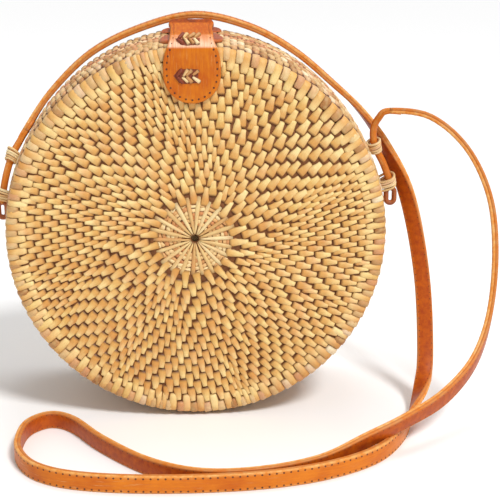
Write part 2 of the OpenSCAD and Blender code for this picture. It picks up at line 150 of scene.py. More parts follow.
def put(tree, kind, settings=None, sockets=None, out=0):
    """Adds a node with its settings and then its sockets' values or links, and gives one output."""
    made = tree.nodes.new(kind)
    for name, setting in (settings or {}).items():
        if name == "stops":
            for _ in setting[2:]:
                made.color_ramp.elements.new(0.5)
            for element, (at, tone) in zip(made.color_ramp.elements, setting):
                element.position, element.color = at, tone
        else:
            setattr(made, name, setting)
    for key, value in (sockets or {}).items():
        if isinstance(value, Value):
            tree.links.new(value.socket, made.inputs[key])
        else:
            made.inputs[key].default_value = value
    return Value(tree, made.outputs[out])


def colour(red, green, blue):
    """A colour as it shows on a screen, from 0 to 255, in the shader's own linear scale."""
    shares = [c / 255 for c in (red, green, blue)]
    return (*[((c + 0.055) / 1.055) ** 2.4 if c > 0.04 else c / 12.92 for c in shares], 1.0)


def mixed(tree, share, first, second):
    sockets = {0: share, 6: first, 7: second}
    return put(tree, "ShaderNodeMix", {"data_type": "RGBA"}, sockets, out=2)


def noise(tree, place, scale, detail=2.0, roughness=0.5):
    sockets = {"Vector": place, "Scale": scale, "Detail": detail, "Roughness": roughness}
    return put(tree, "ShaderNodeTexNoise", {}, sockets)


def joined(tree, x, y, z):
    return put(tree, "ShaderNodeCombineXYZ", {}, {0: x, 1: y, 2: z})


def parts_of(tree, vector):
    node = put(tree, "ShaderNodeSeparateXYZ", {}, {0: vector}).socket.node
    return [Value(tree, node.outputs[i]) for i in range(3)]


def fresh_material(name, **constants):
    material = bpy.data.materials.new(name)
    material.use_nodes = True
    tree = material.node_tree
    shader = tree.nodes["Principled BSDF"]
    for key, constant in constants.items():
        shader.inputs[key.replace("_", " ")].default_value = constant
    return material, tree, shader


def feed(tree, shader, base, roughness, height, depth, strength=1.0):
    """Links what changes over a surface to its shader."""
    tree.links.new(base.socket, shader.inputs["Base Color"])
    tree.links.new(roughness.socket, shader.inputs["Roughness"])
    if depth:
        sockets = {"Height": height, "Distance": depth, "Strength": strength}
        bump = put(tree, "ShaderNodeBump", {}, sockets)
        tree.links.new(bump.socket, shader.inputs["Normal"])


def attribute(tree, name, out="Fac"):
    return put(tree, "ShaderNodeAttribute", {"attribute_name": name}, {}, out)


def object_place(tree):
    return put(tree, "ShaderNodeTexCoord", out="Object")


def palette(*stops):
    """A ramp's stops, each given as its place, red, green and blue."""
    return [(at, colour(*tone)) for at, *tone in stops]


STAIN, RUDDY, PALE = colour(186, 124, 60), colour(226, 156, 92), colour(252, 230, 160)
# Painted shade for the far half, painted highlight for the near half, painted shade for ends
PLATE_SHADE, TIP_HIGHLIGHT, SHADE = colour(212, 150, 68), colour(255, 234, 168), colour(84, 40, 12)


def cane_finish(name, tones, end_shade, stain=0.4, plate_shade=0.0, tip=0.0, seam_shade=0.5, head_shade=0.4):
    """Split cane: each strip has its own tint and fine lines along it; painted shade darkens its
    ends where it tucks in and its edges, and a painted highlight lightens its near half.

    The shares are of the far end's painted shadow, the stains, the far half's painted shade,
    the near half's painted highlight, and the painted shade along both edges and at the near end.
    """
    material, tree, shader = fresh_material(name, Specular_IOR_Level=0.45)
    along, across, _ = parts_of(tree, attribute(tree, "strip", "Vector"))
    tint = attribute(tree, "tint")
    skin = put(tree, "ShaderNodeValToRGB", {"stops": tones}, {0: tint})
    fibre = noise(tree, joined(tree, along * 0.7 + tint * 13, across * 3, tint * 31), 2.6, 3.0, 0.6)
    patch = noise(tree, joined(tree, along * 1.3 + tint * 29, across * 0.5, tint * 7), 1.1, 2.0)
    skin = mixed(tree, fibre.rise(0.35, 0.75) * stain, skin, STAIN)
    skin = mixed(tree, patch.rise(0.5, 0.8) * (stain + 0.1), skin, RUDDY)
    skin = mixed(tree, (1 - patch).rise(0.5, 0.8) * 0.45, skin, PALE)
    # Painted shade on the far half, which lies lower; a painted highlight on the near half
    skin = mixed(tree, along.rise(-0.2, 0.5) * plate_shade, skin, PLATE_SHADE)
    skin = mixed(tree, (along * -1).rise(-0.1, 0.8) * tip, skin, TIP_HIGHLIGHT)
    # Painted shadow at the far end under the next strips; painted shade at the edges and near end
    ends = (along.rise(0.56, 0.92) ** 1.3) * end_shade
    ends = ends.most((abs(across).rise(0.62, 1.0) ** 1.8) * seam_shade)
    ends = ends.most(((along * -1).rise(0.86, 1.0) ** 2) * head_shade)
    skin = mixed(tree, ends, skin, SHADE)
    feed(tree, shader, skin, fibre * 0.2 + 0.42, fibre, 0.00012, 0.6)
    return material


STRAW = palette(
    (0.0, 212, 152, 84), (0.15, 224, 172, 98), (0.34, 232, 184, 110), (0.5, 230, 190, 114),
    (0.64, 236, 186, 124), (0.78, 230, 190, 108), (0.9, 242, 206, 134), (1.0, 248, 220, 154),
)
PALE_STRAW = palette(
    (0.0, 218, 176, 118), (0.3, 236, 204, 146), (0.6, 242, 218, 166), (0.8, 236, 196, 156),
    (1.0, 246, 228, 180),
)
SIDE_STRAW = palette(
    (0.0, 162, 110, 60), (0.3, 208, 168, 112), (0.6, 230, 202, 148), (0.8, 202, 142, 96),
    (1.0, 248, 234, 196),
)
CREAM_STRAW = palette(
    (0.0, 206, 158, 96), (0.35, 228, 194, 130), (0.7, 236, 208, 148), (1.0, 244, 224, 172),
)
# A redder, darker palette for the row at the mouth: painted shade
SHADED_MOUTH_STRAW = palette(
    (0.0, 176, 96, 64), (0.35, 214, 148, 106), (0.7, 234, 188, 140), (1.0, 248, 226, 184),
)
KNOT_STRAW = palette(
    (0.0, 178, 122, 70), (0.35, 224, 182, 122), (0.7, 240, 210, 154), (1.0, 248, 226, 180),
)
NUB_STRAW = palette(
    (0.0, 196, 122, 76), (0.3, 226, 172, 110), (0.6, 242, 206, 146), (1.0, 248, 224, 170),
)
# The braid's cane is reddish brown, darkened further as painted shade at the mouth
BROWN_STRAW = palette(
    (0.0, 146, 70, 46), (0.3, 190, 116, 78), (0.6, 222, 164, 116), (1.0, 244, 214, 170),
)


def mottled_finish(
    name, first, second, scale, detail=2.0, rough=0.6, spread=0.2, depth=0.0, **constants
):
    """Two colours mixed by a fine noise, which may also stand out of the surface by depth."""
    material, tree, shader = fresh_material(name, **constants)
    fine = noise(tree, object_place(tree), scale, detail)
    base = mixed(tree, fine, first, second)
    feed(tree, shader, base, fine * spread + rough, fine, depth)
    return material


def leather_finish(name, face, deep, edge, back, pale=None, bend_highlight=None, shine=0.5):
    """Vegetable tanned leather: mottled, streaked along, with raw edges and a darker back."""
    material, tree, shader = fresh_material(name, Specular_IOR_Level=shine)
    place = object_place(tree)
    across, along, _ = parts_of(tree, attribute(tree, "flat", "Vector"))
    streak = noise(tree, joined(tree, across * 0.9, along * 0.07, 0.0), 1.0, 4.0, 0.65)
    cloud = noise(tree, place, 60.0, 3.0, 0.6)
    pores = noise(tree, place, 1500.0, 3.0, 0.6)
    crease = noise(tree, place, 320.0, 4.0, 0.65)
    skin = mixed(tree, (cloud * 0.5 + streak * 0.5).rise(0.38, 0.62), face, deep)
    # Pale streaks: partly the leather's own tone, partly painted sheen
    skin = mixed(tree, (streak.rise(0.54, 0.7) ** 2) * 0.6, skin, pale or edge)
    skin = mixed(tree, pores.rise(0.58, 0.8) * 0.2, skin, deep)
    smooth = 0.0
    if bend_highlight:
        # Painted highlight: the leather is painted pale where it bends over the top edge
        # Some of that paleness is stretched leather's own; it is polished there too
        polish_and_highlight = along.rise(BEND_S + 1.2, BEND_S + 2.2) * (1 - along.rise(BEND_S + 3.5, BEND_S + 9.5))
        polish_and_highlight = polish_and_highlight * (1 - streak.rise(0.35, 0.6) * 0.5)
        behind = along.rise(BEND_S + 8, BEND_S + 14) * (0.3 + streak.rise(0.4, 0.6) * 0.6)
        skin = mixed(tree, behind, skin, deep)
        skin = mixed(tree, polish_and_highlight * 0.95, skin, bend_highlight)
        smooth = polish_and_highlight * 0.12 - along.rise(BEND_S + 8, BEND_S + 12) * 0.3
    rear = mixed(tree, crease.rise(0.3, 0.7), back, deep)
    skin = mixed(tree, attribute(tree, "back"), skin, rear)
    rim = mixed(tree, crease.rise(0.35, 0.7), edge, face)
    skin = mixed(tree, attribute(tree, "edge"), skin, rim)
    feed(tree, shader, skin, cloud * 0.2 + 0.3 - smooth, pores * 0.5 + crease, 0.00008, 0.5)
    return material


def cloth_finish():
    """Plain woven cotton, warp and weft as fine crossing waves."""
    material, tree, shader = fresh_material("lining cloth", Specular_IOR_Level=0.2)
    x, y, z = parts_of(tree, object_place(tree))
    weave = (x * 5200).sin() * ((z + y) * 5200).sin() * 0.5 + 0.5
    cloud = noise(tree, object_place(tree), 90.0)
    base = mixed(tree, weave, colour(150, 112, 70), colour(206, 172, 124))
    base = mixed(tree, cloud.rise(0.35, 0.7) * 0.3, base, colour(120, 84, 50))
    feed(tree, shader, base, cloud * 0.1 + 0.8, weave, 0.00015)
    return material


CANE = cane_finish("face cane", STRAW, 1.0, plate_shade=0.6, tip=0.4, seam_shade=0.95, head_shade=0.8)
SPOKE = cane_finish("spoke cane", CREAM_STRAW, 0.4, 0.5, seam_shade=0.85)
SIDE_CANE = cane_finish("side cane", SIDE_STRAW, 1.0, seam_shade=1.0, head_shade=0.95)
RIM_CANE = cane_finish("rim cane", BROWN_STRAW, 0.9, seam_shade=0.9, head_shade=0.9)
SHADED_MOUTH_CANE = cane_finish("mouth cane", SHADED_MOUTH_STRAW, 0.95, seam_shade=0.95, head_shade=0.9)
NUB_CANE = cane_finish("nub cane", NUB_STRAW, 0.6, 0.3)
KNOT_CANE = cane_finish("knot cane", KNOT_STRAW, 0.9, seam_shade=0.8)
TIE_CANE = cane_finish("tie cane", PALE_STRAW, 0.6)
# The coils under the strips are dark brown: painted shade, so the gaps between strips show dark
SHADED_FACE_CORE = mottled_finish(
    "face coil core", colour(84, 44, 14), colour(140, 84, 34), 900.0, 3.0, depth=0.0002
)
SHADED_CORE = mottled_finish(
    "side coil core", colour(66, 30, 18), colour(118, 66, 36), 900.0, 3.0, depth=0.0002
)
# Flap's edge and back colours darker than its face: partly painted shade round the pad
FLAP_LEATHER = leather_finish(
    "flap leather", colour(218, 126, 20), colour(186, 84, 6), colour(186, 98, 38),
    colour(112, 48, 24), pale=colour(242, 176, 92), bend_highlight=colour(252, 214, 184), shine=0.22,
)
# The strap's back is redder and darker than its face: its darkness is partly painted shade
STRAP_LEATHER = leather_finish(
    "strap leather", colour(216, 122, 22), colour(192, 92, 12), colour(230, 176, 106),
    colour(158, 62, 18), shine=0.22,
)
PATCH_LEATHER = leather_finish(
    "patch leather", colour(196, 92, 34), colour(124, 50, 24), colour(190, 110, 60),
    colour(120, 58, 34),
)
LOOP_LEATHER = leather_finish(
    "loop leather", colour(186, 108, 58), colour(132, 66, 40), colour(206, 140, 92),
    colour(120, 58, 34), shine=0.3,
)
# Stitch holes are dark discs, hardly dished: painted shade for the holes' depth
SHADED_HOLE = mottled_finish("stitch hole", colour(58, 20, 8), colour(112, 48, 18), 2500.0)
# Painted shadow under a knot's strands, also the painted shade on its two left strands
KNOT_SHADOW = mottled_finish("knot painted shadow", colour(92, 24, 12), colour(150, 66, 26), 700.0, rough=0.5)
CLOTH = cloth_finish()
METAL = mottled_finish(
    "snap metal", colour(196, 186, 160), colour(140, 130, 108), 1800.0, 3.0, rough=0.2,
    spread=0.25, depth=0.00003, Metallic=1.0,
)


# Geometry node trees for what repeats
def new_tree(name, inputs):
    """A tree with those named inputs after its geometry, and each of them as a Value."""
    tree = bpy.data.node_groups.new(name, "GeometryNodeTree")
    tree.interface.new_socket("Geometry", in_out="INPUT", socket_type="NodeSocketGeometry")
    for word, kind in inputs.items():
        tree.interface.new_socket(word, in_out="INPUT", socket_type="NodeSocket" + kind)
    tree.interface.new_socket("Geometry", in_out="OUTPUT", socket_type="NodeSocketGeometry")
    entry = tree.nodes.new("NodeGroupInput")
    return tree, {s.name: Value(tree, s) for s in entry.outputs if s.name}


def end_tree(tree, shape, material):
    """Realize Instances, smooth shading and Set Material, then the tree's output."""
    shape = put(tree, "GeometryNodeRealizeInstances", {}, {"Geometry": shape})
    shape = put(tree, "GeometryNodeSetShadeSmooth", {}, {"Geometry": shape})
    shape = put(tree, "GeometryNodeSetMaterial", {}, {"Geometry": shape, "Material": material})
    tree.links.new(shape.socket, tree.nodes.new("NodeGroupOutput").inputs[0])


def placed_copies(tree, points, shape):
    """The shape on each point, turned and scaled as the point's attributes say."""
    settings = {"data_type": "FLOAT_VECTOR"}
    turn = put(tree, "GeometryNodeInputNamedAttribute", settings, {"Name": "turn"})
    turn = put(tree, "FunctionNodeEulerToRotation", {}, {0: turn})
    size = put(tree, "GeometryNodeInputNamedAttribute", settings, {"Name": "size"})
    sockets = {"Points": points, "Instance": shape, "Rotation": turn, "Scale": size}
    return put(tree, "GeometryNodeInstanceOnPoints", {}, sockets)


def stored(tree, shape, word, value, kind):
    """The shape with a value kept on each of its points."""
    settings = {"data_type": kind, "domain": "POINT"}
    sockets = {"Geometry": shape, "Name": word, "Value": value}
    return put(tree, "GeometryNodeStoreNamedAttribute", settings, sockets)


def strip_tree():
    """A cane strip on each point: high and narrow at its near end, wide and low at its far end."""
    floats = (
        "Length", "Width", "Rise", "Crown", "Tuck", "Drop", "Fold", "Sink", "Taper", "Taper Power",
        "Taper Speed", "Wide From", "Rounding", "Bend Start", "Bend Radius", "Bend Angle",
    )
    kinds = {word: "Float" for word in floats}
    kinds.update({word: "Int" for word in ("Steps Along", "Steps Across", "Seed")})
    kinds["Material"] = "Material"
    tree, given = new_tree("cane strips", kinds)
    sockets = {0: 2.0, 1: 2.0, 2: given["Steps Along"], 3: given["Steps Across"]}
    grid = put(tree, "GeometryNodeMeshGrid", {}, sockets)
    u, v, _ = parts_of(tree, put(tree, "GeometryNodeInputPosition"))
    # u runs along and v across, from -1 to 1, with the grid's lines closer at the ends and edges
    u = u * (1.3 - u * u * 0.3)
    v = v * (1.45 - v * v * 0.45)
    wall = (abs(v) ** 24 + abs(u) ** 24).least(1.0)
    low = (u + 0.35).most(0.0) / 1.35
    fall = (abs(u) - given["Fold"]).most(0.0) / (1 - given["Fold"])
    height = given["Rise"] - given["Tuck"] * low**1.4 - given["Crown"] * v * v
    height = height - given["Drop"] * fall * fall
    height = height * (1 - wall) - given["Sink"] * wall
    still = ((given["Wide From"] - u) / (given["Wide From"] + 1)).most(0.0)
    still = (still * given["Taper Speed"]).least(1.0) ** given["Taper Power"]
    narrow = 1 - (1 - given["Taper"]) * still
    y = v * given["Width"] * 0.5 * narrow * (1 - given["Rounding"] * (abs(u) ** 8))
    x = u * given["Length"] * 0.5
    # Past the bend's start the strip goes round a corner, and straight on from its end
    over = (x - given["Bend Start"]).most(0.0)
    turn = (over / given["Bend Radius"]).least(given["Bend Angle"])
    rest = (over - given["Bend Radius"] * given["Bend Angle"]).most(0.0)
    reach = given["Bend Radius"] + height
    x = x.least(given["Bend Start"]) + reach * turn.sin() + rest * turn.cos()
    z = reach * turn.cos() - given["Bend Radius"] - rest * turn.sin()
    shape = stored(tree, grid, "strip", joined(tree, u, v, 0.0), "FLOAT_VECTOR")
    sockets = {"Geometry": shape, "Position": joined(tree, x, y, z)}
    shape = put(tree, "GeometryNodeSetPosition", {}, sockets)
    tint = put(tree, "FunctionNodeRandomValue", {"data_type": "FLOAT"}, {"Seed": given["Seed"]}, 1)
    points = stored(tree, given["Geometry"], "tint", tint, "FLOAT")
    end_tree(tree, placed_copies(tree, points, shape), given["Material"])
    return tree


def hole_tree():
    """A small dished stitch hole on each point."""
    kinds = {"Radius": "Float", "Depth": "Float", "Material": "Material"}
    tree, given = new_tree("stitch holes", kinds)
    sockets = {"Vertices": 8, "Radius": given["Radius"]}
    disc = put(tree, "GeometryNodeMeshCircle", {"fill_type": "TRIANGLE_FAN"}, sockets)
    x, y, _ = parts_of(tree, put(tree, "GeometryNodeInputPosition"))
    centre = (x * x + y * y).maths("LESS_THAN", 1e-12)
    z = centre * given["Depth"] * -1
    sockets = {"Geometry": disc, "Offset": joined(tree, 0.0, 0.0, z)}
    shape = put(tree, "GeometryNodeSetPosition", {}, sockets)
    end_tree(tree, placed_copies(tree, given["Geometry"], shape), given["Material"])
    return tree


STRIPS = strip_tree()
HOLES = hole_tree()
STRIP_SIZES = {
    "Length": 9.0, "Width": 4.85, "Rise": 1.15, "Crown": 0.34, "Tuck": 0.5, "Drop": 0.5,
    "Fold": 0.74, "Sink": 0.6, "Taper": 0.61, "Taper Power": 1.0, "Taper Speed": 1.35,
    "Wide From": 0.6, "Rounding": 0.3, "Bend Start": 1000.0, "Bend Radius": 3.2,
    "Bend Angle": math.pi / 2, "Steps Along": 9, "Steps Across": 5, "Seed": 1,
}  # fmt: skip
NOT_LENGTHS = (
    "Fold", "Wide From", "Taper", "Taper Power", "Taper Speed", "Rounding", "Bend Angle",
    "Steps Along", "Steps Across", "Seed",
)
HOLE_DEPTH = 0.03
FAINT = (0.6, 0.6, 1)  # the size of a stitch hole where it hardly shows
OWN = []


def add_object(name, mesh):
    made = bpy.data.objects.new(name, mesh)
    bpy.context.scene.collection.objects.link(made)
    OWN.append(made)
    return made


def settle():
    """Moves what has been made so far from the mouth's place to the row frame's."""
    while OWN:
        OWN.pop().data.transform(Matrix.Translation((0.0, MOUTH_Y * MM, 0.0)))


def store_vectors(mesh, word, values):
    layer = mesh.attributes.new(word, "FLOAT_VECTOR", "POINT")
    layer.data.foreach_set("vector", np.array(values, np.float32).ravel())


def turned(along, out):
    """The turn that takes X to along and Z to out."""
    out = Vector(out).normalized()
    along = Vector(along)
    along = (along - along.dot(out) * out).normalized()
    return Matrix((along, out.cross(along), out)).transposed().to_euler()


def grown(name, tree, rows, inputs):
    """Runs a tree on a point for each row, and gives the result as a plain mesh object.

    A row is (place in mm, along, outward, (length, width, height) shares).
    """
    mesh = bpy.data.meshes.new(name)
    mesh.from_pydata([tuple(p) for p in np.array([row[0] for row in rows]) * MM], [], [])
    store_vectors(mesh, "turn", [turned(along, out) for _, along, out, _ in rows])
    store_vectors(mesh, "size", [row[3] for row in rows])
    made = add_object(name, mesh)
    modifier = made.modifiers.new(name, "NODES")
    modifier.node_group = tree
    for item in tree.interface.items_tree:
        if item.in_out == "INPUT" and item.name in inputs:
            modifier[item.identifier] = inputs[item.name]
    graph = bpy.context.evaluated_depsgraph_get()
    graph.update()
    ready = bpy.data.meshes.new_from_object(
        made.evaluated_get(graph), preserve_all_data_layers=True, depsgraph=graph
    )
    made.modifiers.clear()
    made.data = ready
    ready.name = name
    return made


def strips(name, half, rows, material, slot="cane", nodes=(), **changes):
    """Cane strips as one piece. The changes are to STRIP_SIZES."""
    inputs = dict(STRIP_SIZES, **{word.replace("_", " "): size for word, size in changes.items()})
    inputs = {k: v if k in NOT_LENGTHS else v * MM for k, v in inputs.items()}
    inputs["Material"] = material
    made = grown(name, STRIPS, rows, inputs)
    lift_off_ground(made)
    belongs(made, half, slot, *nodes)
    return made


def holes(name, rows, radius):
    inputs = {"Radius": radius * MM, "Depth": HOLE_DEPTH * MM, "Material": SHADED_HOLE}
    return grown(name, HOLES, rows, inputs)


def belongs(made, half, slot, *nodes):
    """Hides the solids that a piece stands for, and gives it its body. Its material slot is not
    used.
    """
    if nodes:
        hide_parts(*nodes)
    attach(made, BODY[half])


def places(made):
    """The points of a piece in mm, a row for each."""
    co = np.zeros(len(made.data.vertices) * 3)
    made.data.vertices.foreach_get("co", co)
    return co.reshape(-1, 3) / MM


def move_to(made, co):
    made.data.vertices.foreach_set("co", (co * MM).ravel())
    made.data.update()


def lift_off_ground(made):
    """Flattens what would reach into the ground."""
    co = places(made)
    co[:, 2] = np.maximum(co[:, 2], GROUND_GAP)
    move_to(made, co)


def reshape(made, half, rule):
    """Moves each point of a piece to the radius and depth that the rule gives for its own."""
    co = places(made)
    x, z = co[:, 0], co[:, 2] - CENTRE_Z
    r = np.hypot(x, z)
    new_r, new_d = rule(x, z, r, co[:, 1] * half)
    co[:, 0] *= new_r / r
    co[:, 2] = CENTRE_Z + z * new_r / r
    co[:, 1] = half * new_d
    move_to(made, co)


def circle(count):
    """Angles the same way apart, once round."""
    return np.linspace(0, math.tau, count, endpoint=False)


def side_r(d):
    """The side wall's radius at a depth."""
    return FACE_R + SWELL * (1 - (d / HALF_DEPTH) ** 2)


def face_place(angle, r, d, half):
    return (r * math.cos(angle), half * d, CENTRE_Z + r * math.sin(angle))


def radial(angle):
    return Vector((math.cos(angle), 0.0, math.sin(angle)))


def leaned(along, out, angle):
    return Matrix.Rotation(angle, 3, Vector(out)) @ Vector(along)


# The weave's order
# For the strips between two of the row before: middle, least and most share of the gap
ONE_STRIP = ((0.5, 0.43, 0.57),)
TWO_STRIPS = ((0.27, 0.22, 0.34), (0.73, 0.66, 0.78))
SMOOTHING = 25  # how many times a new row's strips are spread out


def neighbours(row):
    """The angles before and after each one of a closed row."""
    before, after = np.roll(row, 1), np.roll(row, -1)
    before[0] -= math.tau
    after[-1] += math.tau
    return before, after


def next_row(angles, count, drift, rng):
    """One strip between each two of the row before it, or two where the row gains strips.

    They move round by drift, as the strips lean.
    """
    n = len(angles)
    extra = count - n
    doubled = set()
    if extra:
        start = rng.uniform(0, n)
        doubled = {int(start + k * n / extra + rng.uniform(-1, 1)) % n for k in range(extra)}
    ends = [*angles[1:], angles[0] + math.tau]
    made, lows, highs = [], [], []
    for k, (a, b) in enumerate(zip(angles, ends)):
        for middle, low, high in TWO_STRIPS if k in doubled else ONE_STRIP:
            made.append(a + middle * (b - a))
            lows.append(a + low * (b - a))
            highs.append(a + high * (b - a))
    row = np.array(made)
    for _ in range(SMOOTHING):
        before, after = neighbours(row)
        row = np.clip(row * 0.4 + (before + after) * 0.3, lows, highs)
    return list(row + drift)


def room(angles):
    """The share of the mean spacing that each strip of a row has round it."""
    row = np.array(angles)
    before, after = neighbours(row)
    widest = np.maximum(after - row, row - before)
    return (0.35 * (after - before) / 2 + 0.65 * widest) / (math.tau / len(row))


SPOKES = 22
SPOKE_START = math.radians(2.4)
STRIP_ROOM = 6.4  # the mean distance between the strips of a row
NARROWEST, WIDEST = 0.76, 1.22  # shares of a face strip's usual width
CORNER_WIDTH, CORNER_WIDEST = 1.06, 1.1
FIRST_LENGTH, LAST_LENGTH = 1.24, 0.52  # shares of the length at the hub and at the mouth
LEAN = math.radians(10)
CORNER_LEAN, SIDE_LEAN = LEAN * 0.5, LEAN * 0.6
STANDS_OUT = 0.1  # how far the strips' tops stand out of the wall's surface
FACE_TOP_D = HALF_DEPTH + STANDS_OUT
RISE = STRIP_SIZES["Rise"]
FACE_EDGE_R = ROW_START_R + FACE_ROWS * FACE_PITCH
SIDE_EDGE_D = SIDE_START_D + SIDE_ROWS * SIDE_PITCH
CORNER_D = HALF_DEPTH - CORNER_R
CORNER_RING_R = FACE_R - CORNER_R
CORNER_BEND_R = CORNER_R + STANDS_OUT - RISE


def weave_rows(half, rng):
    """The angles of the strips of every row boundary, from the spokes to the mouth."""
    first = [SPOKE_START + (k + 0.5) * math.tau / SPOKES for k in range(SPOKES)]
    rows = [first]
    for i in range(1, FACE_ROWS + 1):
        r = ROW_START_R + i * FACE_PITCH
        count = max(len(rows[-1]), round(math.tau * r / STRIP_ROOM))
        drift = -half * math.tan(LEAN) * FACE_PITCH / (r - FACE_PITCH / 2)
        rows.append(next_row(rows[-1], count, drift, rng))
    for k in range(SIDE_ROWS + 2):
        drift = -half * math.tan(SIDE_LEAN if k else CORNER_LEAN) * SIDE_PITCH / FACE_R
        rows.append(next_row(rows[-1], len(rows[-1]), drift, rng))
    return rows


def strip_share(rng, wide):
    """A strip's length, width and height as shares of the usual ones, each a little off."""
    return (
        1 + rng.uniform(-0.04, 0.04),
        wide * (1 + rng.uniform(-0.05, 0.05)),
        1 + rng.uniform(-0.1, 0.1),
    )


def face_strips(half, rows, rng):
    """The strips of a face, row by row. Each one's wide end is nearer to the hub, and tucks in."""
    made = []
    out = Vector((0, half, 0))
    for i in range(FACE_ROWS):
        r = ROW_START_R + i * FACE_PITCH
        for angle, share in zip(rows[i], room(rows[i])):
            a = angle + rng.uniform(-0.15, 0.15) / r
            at_r = r + rng.uniform(-0.25, 0.25)
            if i == 0:
                # The first row reaches in over the spokes' ends, further on the right
                at_r -= 1.0 + 0.9 * math.cos(a + 0.35) + rng.uniform(-0.4, 0.4)
            along = leaned(radial(a), out, LEAN + rng.uniform(-0.05, 0.05)) * -1
            spacing = math.tau * r / len(rows[i]) / STRIP_ROOM
            place = face_place(a, at_r, FACE_TOP_D - RISE, half)
            size = strip_share(rng, min(WIDEST, max(NARROWEST, share * spacing)))
            length = FIRST_LENGTH if i == 0 else 1.0
            made.append((place, along, out, (size[0] * length, size[1], size[2])))
    return made


def corner_strips(half, rows, rng):
    """Long strips over the corner: one set from the face's last row, one to the side's first."""
    sets = []
    out = Vector((0, half, 0))
    for row, first_r, last_d in (
        (rows[FACE_ROWS], FACE_EDGE_R - FACE_PITCH, SIDE_EDGE_D),
        (rows[FACE_ROWS + 1], FACE_EDGE_R, SIDE_EDGE_D - SIDE_PITCH),
    ):
        arc = CORNER_BEND_R * math.pi / 2
        length = CORNER_RING_R - first_r + arc + CORNER_D - last_d
        bend = CORNER_RING_R - first_r - length / 2
        made = []
        for angle, share in zip(row, room(row)):
            a = angle + rng.uniform(-0.1, 0.1) / FACE_R
            place = face_place(a, CORNER_RING_R - bend, FACE_TOP_D - RISE, half)
            along = leaned(radial(a), out, CORNER_LEAN + rng.uniform(-0.03, 0.03))
            wide = CORNER_WIDTH * min(CORNER_WIDEST, share)
            size = (1, wide, 1 + rng.uniform(-0.03, 0.03))
            made.append((place, along, out, size))
        sets.append((made, length, bend))
    return sets


def side_strips(half, rows, rng, which):
    """Strips across the side wall, in rows counted from the corner. The last one is short."""
    made = []
    for j in which:
        d = SIDE_START_D + (SIDE_ROWS - 1 - j) * SIDE_PITCH
        last = j == SIDE_ROWS - 1
        for angle in rows[FACE_ROWS + 2 + j]:
            a = angle + rng.uniform(-0.1, 0.1) / FACE_R
            at_d = d + rng.uniform(-0.15, 0.15) + (SIDE_PITCH / 2 if last else 0)
            place = face_place(a, side_r(at_d) + STANDS_OUT - RISE, at_d, half)
            if place[2] < HINGE_Z and abs(place[0]) < HINGE_REACH_X and at_d < HINGE_REACH_D:
                continue
            slope = 2 * SWELL * at_d / HALF_DEPTH**2
            out = radial(a) + Vector((0, half * slope, 0))
            lean = SIDE_LEAN + rng.uniform(-0.05, 0.05)
            along = leaned(Vector((0, -half, 0)), radial(a), lean)
            size = strip_share(rng, 1.0)
            length = LAST_LENGTH if last else 1.0
            made.append((place, along, out, (size[0] * length, size[1], size[2])))
    return made


def shell_mesh(name, profile, half, segments, material):
    """A closed profile [radius, depth] in mm, turned round the bag's axis."""
    n = len(profile)
    turns = circle(segments)
    r = np.array([p[0] for p in profile])
    d = np.array([p[1] for p in profile])
    x = np.outer(np.cos(turns), r)
    z = CENTRE_Z + np.outer(np.sin(turns), r)
    y = np.outer(np.ones(segments), half * d)
    points = np.stack([x, y, z], axis=2).reshape(-1, 3) * MM
    points[:, 2] = np.maximum(points[:, 2], GROUND_GAP * MM)
    faces = []
    for i in range(segments):
        a, b = i * n, ((i + 1) % segments) * n
        for k in range(n):
            m = (k + 1) % n
            quad = (a + k, a + m, b + m, b + k)
            faces.append(quad if half == FRONT else quad[::-1])
    mesh = bpy.data.meshes.new(name)
    mesh.from_pydata([tuple(p) for p in points], [], faces)
    finish_mesh(mesh, material)
    return add_object(name, mesh)


def finish_mesh(mesh, material):
    shape = bmesh.new()
    shape.from_mesh(mesh)
    bmesh.ops.recalc_face_normals(shape, faces=shape.faces)
    shape.to_mesh(mesh)
    shape.free()
    mesh.polygons.foreach_set("use_smooth", [True] * len(mesh.polygons))
    mesh.materials.append(material)


def ridges(start, count, pitch, steps=6):
    """[place, height share] along a row of coils: 0 in a valley, 1 on a crest."""
    return [
        (start + (i + k / steps) * pitch, math.sin(math.pi * k / steps))
        for i in range(count)
        for k in range(steps)
    ]


CORE_TOP = 0.95  # from the strips' tops down to the crests of the coils under them
CORE_DIP = 0.55  # and from the crests to the valleys
CORE_BACK_D = 36.2
HUB_HOLE_R = 1.9
HUB_COIL_R = 5.0  # where the hub's coils start
WALL_T = 4.2
OFF_BY, OFF_R, OFF_FROM_D = 1.1, 88.0, 35.8  # how far, out to which radius, and from which depth


def off_middle(made, half):
    """The rows' own middle is a little left of and under the middle of the face's edge."""
    if half == BACK:
        return
    co = places(made)
    r = np.hypot(co[:, 0], co[:, 2] - CENTRE_Z)
    shift = OFF_BY * np.clip(1 - r / OFF_R, 0, 1) * (abs(co[:, 1]) > OFF_FROM_D)
    co[:, 0] -= shift
    co[:, 2] -= shift
    move_to(made, co)


def face_core(half):
    """The coils of a face, which show between the strips."""
    outer = [(HUB_HOLE_R, 37.0), (2.0, 38.2), (3.5, 38.6)]
    hub_coils = ridges(HUB_COIL_R, 7, (ROW_START_R - HUB_COIL_R) / 7, 4)
    outer += [(p, FACE_TOP_D - 1.5 + 0.5 * h) for p, h in hub_coils]
    coils = ridges(ROW_START_R, FACE_ROWS, FACE_PITCH)
    outer += [(p, FACE_TOP_D - CORE_TOP - CORE_DIP * (1 - h)) for p, h in coils]
    edge = [(FACE_EDGE_R, FACE_TOP_D - 1.7), (FACE_EDGE_R, CORE_BACK_D)]
    profile = [*outer, *edge, (HUB_HOLE_R, CORE_BACK_D)]
    made = shell_mesh(f"{WORD[half]}_face_coils", profile, half, 200, SHADED_FACE_CORE)
    off_middle(made, half)
    belongs(made, half, "cane", f"{WORD[half]}_face")


